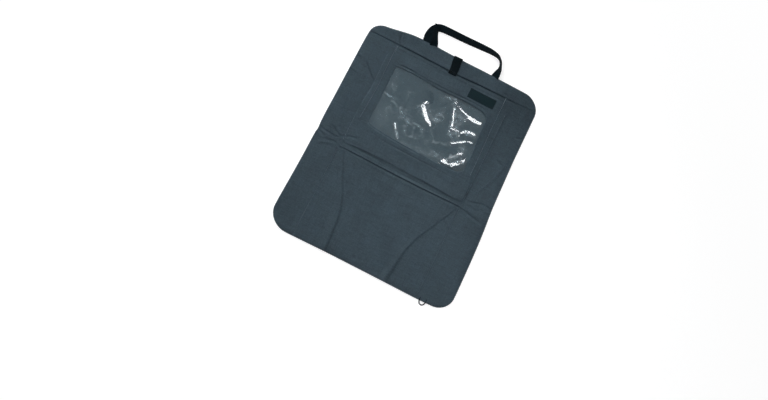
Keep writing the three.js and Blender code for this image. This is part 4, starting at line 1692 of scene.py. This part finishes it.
@dataclass
class LowerPocket:
    """Lower pocket: one cloth with a knife pleat at each side, sewn in at the sides and the bottom."""

    mat: PaddedMat
    cloth: float = 0.46
    ply: float = 0.06
    slack: float = 2.0
    puff: float = 0.2
    mouth_y: float = -35.0
    foot_y: float = -275.0
    low_row: float = -280.0
    high_row: float = -36.0
    over_cover: float = 0.12
    pleat_depth: float = 3.0
    deeper_at_foot: float = 18.0
    seam_bead: Pair = (1.3, 0.6)
    seam_groove: float = 0.4
    run_in: tuple[float, ...] = (0.0, 0.4, 1.0, 1.8, 2.8, 4.0, 5.4, 7.0, 9.0, 11.5, 15.0, 20.0)
    bulge_left: Pair = (1.15, 1.9)
    bulge_right: Pair = (0.75, 1.9)
    mouth: Points = (
        (-174, -37.2), (-140, -37.4), (-100, -38.4), (-60, -39.9), (-20, -41), (20, -41.7), (60, -42.1),
        (162, -42),
    )
    seam_left: Points = (
        (-33, -171.3), (-90, -171.8), (-130, -172.8), (-170, -173.8), (-210, -175.6), (-283, -176.2),
    )
    seam_right: Points = ((-33, 160.4), (-283, 160))
    fold_left: Points = (
        (-34, -153), (-45, -149.5), (-60, -144.5), (-80, -133.6), (-100, -125.2), (-120, -114.4),
        (-140, -106.2), (-160, -100.2), (-180, -94.8), (-200, -92), (-220, -90.6), (-240, -88.6),
        (-280, -87),
    )
    fold_right: Points = (
        (-34, 153.5), (-45, 149.5), (-60, 143.3), (-80, 132.8), (-100, 123), (-120, 112.6), (-140, 103),
        (-160, 95), (-180, 89.5), (-200, 85.5), (-220, 82.7), (-240, 81.6), (-260, 79), (-280, 77.6),
    )
    creases: tuple[Crease, ...] = (
        Crease(((-38, -226), (-10, -229), (14, -226)), 1.1, 7.0),
        Crease(((-60, -70), (-20, -84), (30, -80)), 0.4, 9.0),
        Crease(((60, -120), (30, -160), (20, -200)), 0.4, 10.0),
        Crease(((-70, -150), (-50, -190), (-56, -230)), 0.4, 9.0),
        Crease(((-30, -262), (0, -258), (24, -264)), 0.6, 5.0),
    )

    def section(self, y: float) -> tuple[Array, Array, Array, Array]:
        """Cloth's middle line across the pocket: two knife pleats, the left strip lying over the middle.

        Args:
            y: Position along the mat.

        Returns:
            Positions across, levels above the cover, the way that the cloth's upper face looks, and which
            points belong to the loose middle.
        """
        height, from_foot = self.mouth_y - self.foot_y, y - self.foot_y
        share = float(np.clip((self.mouth_y - y) / height, 0.0, 1.0))
        depth = self.pleat_depth + self.deeper_at_foot * share
        pitch = self.cloth + self.ply
        half = pitch / 2.0
        higher = 0.35 + 0.65 * float(smooth(from_foot / height))
        loose = self.slack * float(smooth(from_foot / 50.0)) * higher
        arc = np.linspace(-math.pi / 2.0, math.pi / 2.0, 6)[1:-1]
        run_in = np.array(self.run_in)
        low = share**2

        def bulged(at: Array, turn: float, bulge: Pair) -> Array:
            """Height by which the plies stand off along the inner side of a fold.

            Args:
                at: Positions across.
                turn: Where the fold is.
                bulge: Height at the mouth, and what the foot adds.

            Returns:
                The heights.
            """
            peak, wide = turn - 2.3 - 3.9 * low, 1.7 + 2.5 * low
            across = np.where(at < peak, 2.6 * wide, wide)
            return (bulge[0] + bulge[1] * low) * hump(at - peak, across)

        edge, turn = float(through(self.seam_left, y)), float(through(self.fold_left, y))
        hidden = turn - depth
        first = edge + (turn - edge) * (1.0 - np.linspace(1.0, 0.0, 26) ** 1.8)
        top = 2.0 * pitch * smooth((first - hidden + 9.0) / 9.0)
        top += self.puff * smooth((first - edge) / 14.0) * smooth((turn - first) / 6.0)
        end = float(top[-1])
        left_x = np.concatenate([
            first, turn + half * np.cos(arc), np.linspace(turn, hidden, 8), hidden - half * np.cos(arc),
            hidden + (turn - hidden) * np.linspace(0.1, 0.9, 6), turn + run_in])
        left_z = np.concatenate([
            top, end - half - half * np.sin(arc), np.linspace(end - pitch, pitch, 8),
            half - half * np.sin(arc), np.zeros(6), loose * smooth(run_in / 20.0)])
        left_z += bulged(left_x, turn, self.bulge_left) * np.where(left_x < turn + 1.0, 1.0, 0.0)

        edge, turn = float(through(self.seam_right, y)), float(through(self.fold_right, y))
        hidden = turn - depth
        first = edge + (hidden - edge) * np.linspace(0.0, 1.0, 26) ** 1.3
        onward = turn - run_in
        right_x = np.concatenate([first, hidden - half * np.cos(arc), np.linspace(hidden, turn, 8),
                                  turn + half * np.cos(arc), onward])
        right_z = np.concatenate([np.zeros(26), half + half * np.sin(arc), np.full(8, pitch),
                                  pitch + half + half * np.sin(arc), np.full(12, 2.0 * pitch)])
        right_z += bulged(right_x, turn, self.bulge_right)
        right_z[-12:] += (loose - 2.0 * pitch) * smooth((run_in - 0.4 * depth) / 16.0)
        right_z[:26] += self.puff * smooth((edge - first) / 14.0) * smooth((first - turn) / 4.0)

        settled = right_z[-1]
        middle = np.linspace(left_x[-1], right_x[-1], 62)[1:-1]
        level = loose + (settled - loose) * smooth(np.linspace(0.0, 1.0, 60) * 2.0 - 1.0)
        x = np.concatenate([left_x, middle, right_x[::-1]])
        z = np.concatenate([left_z, level, right_z[::-1]])
        free = np.concatenate([np.zeros(len(left_x) - 12), run_in / 20.0, np.ones(60), run_in[::-1] / 20.0,
                               np.zeros(len(right_x) - 12)])
        slope = unit(np.gradient(np.stack([x, z], -1), axis=0))
        return x, z + self.cloth / 2.0, np.stack([-slope[:, 1], slope[:, 0]], -1), free

    def make_cloth(self, material: Material) -> Piece:
        """Make the pleated cloth from the bottom seam up to the hem at the mouth.

        Args:
            material: Its material.

        Returns:
            The piece.
        """
        shares = np.concatenate([
            np.array([0.0, 0.002, 0.005, 0.01, 0.016, 0.024]), np.linspace(0.034, 0.955, 106),
            np.array([0.96, 0.9645, 0.967, 0.972, 0.98, 0.988, 0.994, 0.998, 1.0])])
        tops, lows = [], []
        height, half = self.high_row - self.low_row, self.cloth / 2.0
        for share in shares:
            x, z, way, free = self.section(self.low_row + height * share)
            bottom = through(self.mat.outline.bottom, x) + 1.4
            y = bottom + (through(self.mouth, x) - bottom) * share
            base = self.mat.surface(x, y, folds=False) + self.over_cover
            z = z + 0.22 * ripples(x, y, 58.0, 71) + (0.3 * ripples(x, y, 46.0, 73) * free)
            z = z + sum(crease.lift(x, y) for crease in self.creases) * free
            from_mouth = (1.0 - share) * height
            hem = 0.3 * float(smooth((10.0 - from_mouth) / 4.0)) - 0.15 * float(hump(from_mouth - 8.0, 0.8))
            hem -= 0.6 * (1.0 - float(smooth(from_mouth / 0.8)))
            seams = (through(self.seam_left, y), through(self.seam_right, y))
            seam_side = np.minimum(*(np.abs(x - seam) for seam in seams))
            on_base = z < self.cloth + 0.4 + self.puff
            raised = np.where(x < 0.0, *self.seam_bead) * hump(seam_side - 1.5, 1.3)
            bead = np.where(on_base, raised - self.seam_groove * hump(seam_side - 4.4, 1.1), 0.0)
            up = half + hem * np.sign(way[:, 1]).clip(0.0, 1.0) + bead
            tops.append(np.stack([x + way[:, 0] * half, y, base + z + way[:, 1] * up], -1))
            lows.append(np.stack([x - way[:, 0] * half, y, base + z - way[:, 1] * half], -1))
        return slab("pleated_lower_pocket", np.array(tops), np.array(lows), material)

    def face_level(self, x: Array, y: Array) -> Array:
        """Level of the pocket's side strips beside the pleats."""
        return self.mat.surface(x, y, folds=False) + self.over_cover + self.cloth

    def make_stitches(self, sewing: Material, hem_sewing: Material) -> None:
        """Make the stitches of the side seams and of the hem at the mouth.

        Args:
            sewing: Thread of the side seams, lighter than the cloth as painted highlight along them.
            hem_sewing: Thread of the hem.
        """
        lines = []
        down = np.linspace(-42.0, -270.0, 80)
        for seam, way in ((self.seam_left, 1.0), (self.seam_right, -1.0)):
            x = through(seam, down) + way * 1.3
            raised = 1.1 if way > 0.0 else 0.65
            lines.append((np.stack([x, down, self.face_level(x, down) + raised], -1), Seam.EDGE))
        across = np.linspace(-128.0, 122.0, 90)
        y = through(self.mouth, across) - 8.0
        level = self.face_level(across, y) + self.slack + 0.15
        rise = np.minimum(smooth((across + 156.0) / 30.0), smooth((150.0 - across) / 30.0))
        level = level - (self.slack - 2.0 * (self.cloth + self.ply)) * (1.0 - rise)
        waves = 0.22 * ripples(across, y, 58.0, 71) + 0.3 * ripples(across, y, 46.0, 73)
        hem = np.stack([across, y, level + waves], -1)
        dress(thread("lower_pocket_stitches", lines, sewing), Slot.COVER)
        dress(thread("lower_pocket_hem_stitches", [(hem, Seam.TOPSTITCH)], hem_sewing), Slot.COVER)

    def build(self, cover: Material, sewing: Material, hem_sewing: Material) -> None:
        """Build the pocket.

        Args:
            cover: Material of the cloth.
            sewing: Thread of the side seams, lighter than the cloth as painted highlight along them.
            hem_sewing: Thread of the mouth's hem.
        """
        cloth = dress(self.make_cloth(cover), Slot.COVER, "lower_pocket")
        self.make_stitches(sewing, hem_sewing)
        LOG.info("lower pocket: pleated cloth and stitches")


# Webbing and cord


@dataclass
class StrapWork:
    """Black webbing: headrest strap, its tail, and the closing tab.

    A station is a point of a webbing's middle line, in millimetres, and its bank in degrees (0 lies flat).
    """

    mat: PaddedMat
    pocket: TabletPocket
    width: float = 20.0
    thickness: float = 1.3
    loop: tuple[Station, ...] = (
        (97, 273, 2, 0), (97.2, 281, 2.6, -12), (98.6, 290, 6, -34), (99.4, 300, 9.8, -58),
        (97.4, 311, 10.8, -76), (91.5, 322, 10.8, -78), (78, 329.6, 10.6, -64), (57, 331.8, 10, -51),
        (25, 331.4, 9.6, -43), (-10, 330.8, 9, -37), (-45, 331, 8.4, -33), (-66, 330.6, 7.8, -28),
        (-77, 328.2, 7.2, -22), (-85.5, 321, 6.4, -15), (-89.8, 311, 5.2, -10), (-91, 301, 4, -5),
        (-89.6, 291, 3, -2), (-88, 284, 2.3, 0), (-87.5, 274, 2, 0),
    )
    tail: tuple[Station, ...] = (
        (-69, 273, 2.1, 0), (-69, 281, 2.2, 0), (-69.8, 287, 4.2, 12), (-72.8, 296, 9.6, 30),
        (-77, 307, 13.6, 42), (-80, 317, 15.6, 46), (-81.4, 326, 16.8, 46), (-81.4, 334, 17.2, 44),
    )
    tab_x: Pair = (-1.6, 0.8)
    tab_flare: float = 1.16

    def frames(self, stations: Sequence[Station], step: float = 1.6) -> tuple[Array, Array, Array]:
        """Middle line of a webbing, its direction across and its direction through.

        Args:
            stations: The stations that it passes.
            step: Distance between two sections.

        Returns:
            Points, unit vectors across and unit vectors through.
        """
        path = along_path(stations, step)
        centres, bank = path[:, :3], np.radians(path[:, 3])
        along = unit(np.gradient(centres, axis=0))
        level = np.cross((0.0, 0.0, 1.0), along)
        for k in range(1, len(level)):
            if level[k] @ level[k - 1] < 0.0:
                level[k] = -level[k]
        level = unit(level)
        raised = np.cross(along, level)
        across = level * np.cos(bank)[:, None] + raised * np.sin(bank)[:, None]
        return centres, across, np.cross(along, across)

    def section(self) -> Array:
        """Section of the webbing, a flat strip with rounded selvages.

        Returns:
            The section's points.
        """
        half, thick = self.width / 2.0, self.thickness / 2.0
        inner = np.linspace(-half + 1.0, half - 1.0, 17)
        arc = np.linspace(-math.pi / 2.0, math.pi / 2.0, 7)[1:-1]
        right = np.stack([half - 1.0 + np.cos(arc), thick * 1.1 * np.sin(arc)], -1)
        lower = np.stack([inner, np.full(17, -thick)], -1)
        return np.concatenate([lower, right, lower[::-1] * [1.0, -1.0], -right])

    def make_ribbon(self, name: str, stations: Sequence[Station], material: Material,
                    flare: float = 1.0) -> Piece:
        """Make a webbing along its stations.

        Args:
            name: Name of the piece.
            stations: The stations that it passes.
            material: Its material.
            flare: Width at its start, as a share of the width at its end.

        Returns:
            The piece.
        """
        centres, across, through_web = self.frames(stations)
        section = self.section()
        wide = np.linspace(flare, 1.0, len(centres))[:, None]
        points = sweep(centres, across * wide, through_web, section)
        return tube(name, points, material, wrapped(section[:, 0] / self.width + 0.5, centres))

    def tab_stations(self) -> tuple[Station, ...]:
        """Route of the closing tab: out of the top seam, over the band and onto the pocket's mouth.

        Returns:
            Its stations.
        """
        top_x, low_x = self.tab_x
        edge = float(through(self.mat.outline.top, 0.0))
        mouth = float(through(self.pocket.mouth, 0.0))
        face = self.mat.face_level + 0.9
        lapped = float(self.pocket.panel_level(np.array(0.0), np.array(mouth - 4.0))) + 1.6
        return (
            (top_x, edge - 6.0, 2.0, 0.0), (top_x, edge + 0.6, 1.9, 0.0), (top_x, edge + 2.2, 3.0, 0.0),
            (top_x, edge + 1.2, face - 1.0, 0.0), (top_x, edge - 3.0, face + 0.5, 0.0),
            (top_x, edge - 9.0, face + 0.7, 0.0), (low_x - 0.6, mouth + 18.0, face + 0.6, 0.0),
            (low_x, mouth + 9.0, face + 1.8, 0.0), (low_x, mouth + 3.0, lapped - 0.9, 0.0),
            (low_x, mouth - 0.5, lapped, 0.0), (low_x, mouth - 3.2, lapped - 0.1, 0.0),
        )

    def stitch_box(self, stations: Sequence[Station], start: float, size: float) -> list[tuple[Array, Seam]]:
        """Stitched box with a cross on a webbing.

        Args:
            stations: The webbing's stations.
            start: Where the box begins along the webbing.
            size: Length of the box.

        Returns:
            Its lines of thread.
        """
        centres, across, through_web = self.frames(stations, 0.8)
        run = run_along(centres)
        side = np.sign(through_web[:, 2:3]) + (through_web[:, 2:3] == 0.0)
        half = self.width / 2.0 - 2.6

        def at(distance: Array, offset: Array) -> Array:
            """Points on the webbing's upper face.

            Args:
                distance: Distances along the webbing.
                offset: Distances from its middle.

            Returns:
                The points.
            """
            index = np.clip(np.searchsorted(run, distance), 0, len(run) - 1)
            upper = through_web[index] * side[index] * (self.thickness / 2.0 + 0.05)
            return centres[index] + across[index] * offset[:, None] + upper

        t = np.linspace(0.0, 1.0, 14)
        a, b = start, start + size
        low_left, low_right, top_right, top_left = (a, -half), (b, -half), (b, half), (a, half)
        legs = [(low_left, low_right), (low_right, top_right), (top_right, top_left), (top_left, low_left),
                (low_left, top_right), (top_left, low_right)]
        return [(at(p[0] + (q[0] - p[0]) * t, p[1] + (q[1] - p[1]) * t), Seam.TOPSTITCH) for p, q in legs]

    def build(self, webbing: Material, shaded_tab_webbing: Material, sewing: Material) -> None:
        """Build the webbing pieces.

        Args:
            webbing: Material of the webbing.
            shaded_tab_webbing: Material of the closing tab: the strap's own webbing, painted darker as
                painted shade.
            sewing: Black thread.
        """
        tab = self.tab_stations()
        for name, stations, material, flare in (
                ("headrest_strap", self.loop, webbing, 1.0), ("strap_tail", self.tail, webbing, 1.0),
                ("closing_tab", tab, shaded_tab_webbing, self.tab_flare)):
            dress(self.make_ribbon(f"{name}_webbing", stations, material, flare), Slot.WEBBING, name)
        lines = self.stitch_box(self.tail, 46.0, 9.0)
        tab_length = sum(math.dist(a[:3], b[:3]) for a, b in zip(tab[:-1], tab[1:]))
        lines += self.stitch_box(tab, tab_length - 9.0, 5.0)
        dress(thread("webbing_stitches", lines, sewing), Slot.WEBBING)
        LOG.info("webbing: headrest strap, tail and closing tab")


@dataclass
class ElasticLoop:
    """Loop of elastic cord in the bottom seam."""

    radius: float = 1.6
    route: tuple[tuple[float, float, float], ...] = (
        (168.0, -275.0, 2.8), (168.2, -281.5, 2.7), (169.6, -287.0, 2.3), (173.0, -291.6, 1.9),
        (177.5, -292.6, 1.8), (181.8, -290.0, 1.9), (184.0, -285.0, 2.3), (184.4, -280.5, 2.7),
        (184.4, -275.0, 2.8),
    )

    def build(self, elastic: Material) -> None:
        """Build the loop.

        Args:
            elastic: Its material.
        """
        centres = along_path(self.route, 0.7)
        along = unit(np.gradient(centres, axis=0))
        aside = unit(np.cross((0.0, 0.0, 1.0), along))
        turns = np.linspace(0.0, 2.0 * math.pi, 14, endpoint=False)
        section = np.stack([np.cos(turns), np.sin(turns)], -1) * self.radius
        points = sweep(centres, aside, np.cross(along, aside), section)
        uvs = wrapped(turns / (2.0 * math.pi), centres)
        dress(tube("elastic_loop", points, elastic, uvs), Slot.ELASTIC, "bottom_loop")
        LOG.info("elastic loop")


# The studio


@dataclass(frozen=True)
class Softbox:
    """An area lamp that looks at the mat. Metres, degrees, and watts per square metre and steradian."""

    which: Lamp
    distance: float
    radiance: float
    depth: float
    width: float
    spread: float = 180.0
    aim: Pair = (0.0, 0.0)

    def build(self) -> None:
        """Place the lamp."""
        name = self.which.name.lower()
        data = bpy.data.lights.new(name, "AREA")
        data.shape = "RECTANGLE"
        data.size, data.size_y = self.depth, self.width
        data.energy = self.radiance * math.pi * self.depth * self.width
        data.spread = math.radians(self.spread)
        made = put_in_scene(name, data)
        azimuth, tilt = (math.radians(value) for value in self.which.value)
        made.location = (self.aim[0] + self.distance * math.sin(tilt) * math.cos(azimuth),
                         self.aim[1] + self.distance * math.sin(tilt) * math.sin(azimuth),
                         self.distance * math.cos(tilt))
        made.rotation_euler = (0.0, tilt, azimuth)


@dataclass
class Studio:
    """Pale floor, soft lamps and the camera straight above the mat. Metres, with the lens in millimetres."""

    target: Pair = (-0.0139, -0.1035)
    up: Pair = (-0.438, 0.899)
    view_width: float = 1.8586
    lens: float = 85.0
    sensor: float = 36.0
    sky_strength: float = 0.2
    floor_reach: float = 6.0
    floor_drop: float = 0.0004
    lamps: tuple[Softbox, ...] = (
        Softbox(Lamp.KEY, 3.2, 0.97, 0.6, 0.6, 18.0, (0.1, -0.14)),
        Softbox(Lamp.TOP, 8.0, 8.4, 0.8, 14.0),
        Softbox(Lamp.SIDE, 5.0, 8.0, 0.5, 4.6),
    )

    def camera(self) -> None:
        """Place the camera above the mat, turned so that the mat leans to the right."""
        data = bpy.data.cameras.new("camera")
        data.lens, data.sensor_width = self.lens, self.sensor
        made = put_in_scene("camera", data)
        made.location = (*self.target, self.view_width * self.lens / self.sensor)
        made.rotation_euler = (0.0, 0.0, math.atan2(-self.up[0], self.up[1]))
        bpy.context.scene.camera = made

    def floor(self) -> None:
        """Lay the floor: white to the camera, with the mat's shadow kept."""
        g = Graph("pale_floor")
        path = g.node("ShaderNodeLightPath", {}, {})
        camera, glossy, clear = (Val(g, path.outputs[f"Is {kind} Ray"])
                                 for kind in ("Camera", "Glossy", "Transmission"))
        plain = g.node("ShaderNodeBsdfDiffuse", {}, {"Color": (0.8, 0.8, 0.8, 1.0)})
        pale = g.node("ShaderNodeBsdfDiffuse", {}, {"Color": (0.5, 0.5, 0.5, 1.0)})
        glow = g.node("ShaderNodeEmission", {}, {"Color": (1.0, 1.0, 1.0, 1.0), "Strength": 0.7})
        lit = g.node("ShaderNodeAddShader", {}, {0: pale.outputs[0], 1: glow.outputs[0]})
        seen = camera.most(glossy).most(clear)
        mixed = g.node("ShaderNodeMixShader", {}, {0: seen, 1: plain.outputs[0], 2: lit.outputs[0]})
        corners = np.array([(x * self.floor_reach / MM, y * self.floor_reach / MM, -self.floor_drop / MM)
                            for x, y in ((-1, -1), (1, -1), (1, 1), (-1, 1))])
        make_object("floor", corners, [[0, 1, 2, 3]], g.close(mixed))

    def sky(self) -> None:
        """Light the room evenly, and show it pale behind the floor's end."""
        g = Graph("room", world=True)
        path = g.node("ShaderNodeLightPath", {}, {})
        even = g.node("ShaderNodeBackground", {},
                      {"Color": (0.97, 0.985, 1.0, 1.0), "Strength": self.sky_strength})
        pale = g.node("ShaderNodeBackground", {}, {})
        mixed = g.node("ShaderNodeMixShader", {}, {0: path.outputs["Is Camera Ray"], 1: even.outputs[0],
                                                   2: pale.outputs[0]})
        bpy.context.scene.world = g.close(mixed)

    def build(self) -> None:
        """Set up the room."""
        bpy.context.scene.view_settings.view_transform = "Standard"
        self.camera()
        for lamp in self.lamps:
            lamp.build()
        self.floor()
        self.sky()


def main() -> None:
    """Dress the mat, piece by piece."""
    logging.basicConfig(level=logging.INFO, format="%(name)s: %(message)s")
    Studio().build()
    # The cover paints shade into its top-right corner.
    cover = WovenCloth("cover_cloth", (61.0, 73.5, 81.5), corner_shade=0.2).build()
    back = WovenCloth("back_cloth_weave", (56.0, 67.0, 74.5), pitch=1.0, heather=0.12).build()
    sewing = SewingThread("grey_thread", (58.0, 70.0, 78.0)).build()
    # Pale thread on the pocket's edges: its pale colour is painted highlight along the raised edges.
    highlight_sewing = SewingThread("highlight_thread", (114.0, 129.0, 136.0)).build()
    # Lighter thread on the lower pocket's side seams: painted highlight along them.
    side_highlight_sewing = SewingThread("side_highlight_thread", (84.0, 97.0, 104.0)).build()
    # Dark thread round the window: its colour is painted shade of the sewn grooves there.
    dark_sewing = SewingThread("shadow_line_thread", (30.0, 38.0, 43.0)).build()
    black_sewing = SewingThread("black_thread", (22.0, 31.0, 36.0)).build()
    mat = PaddedMat()
    mat.build(cover, back, sewing)
    pocket = TabletPocket(mat)
    pocket.build(cover, ClearFilm().build(), LabelWeave().build(), highlight_sewing, dark_sewing, black_sewing)
    LowerPocket(mat).build(cover, side_highlight_sewing, sewing)
    # A darker copy of the strap's webbing for the tab: painted shade on the same webbing.
    shaded_tab_webbing = BlackWebbing("shaded_tab_webbing", (6.0, 14.0, 18.0)).build()
    StrapWork(mat, pocket).build(BlackWebbing().build(), shaded_tab_webbing, black_sewing)
    ElasticLoop().build(BraidedElastic().build())


if __name__ == "__main__":
    main()
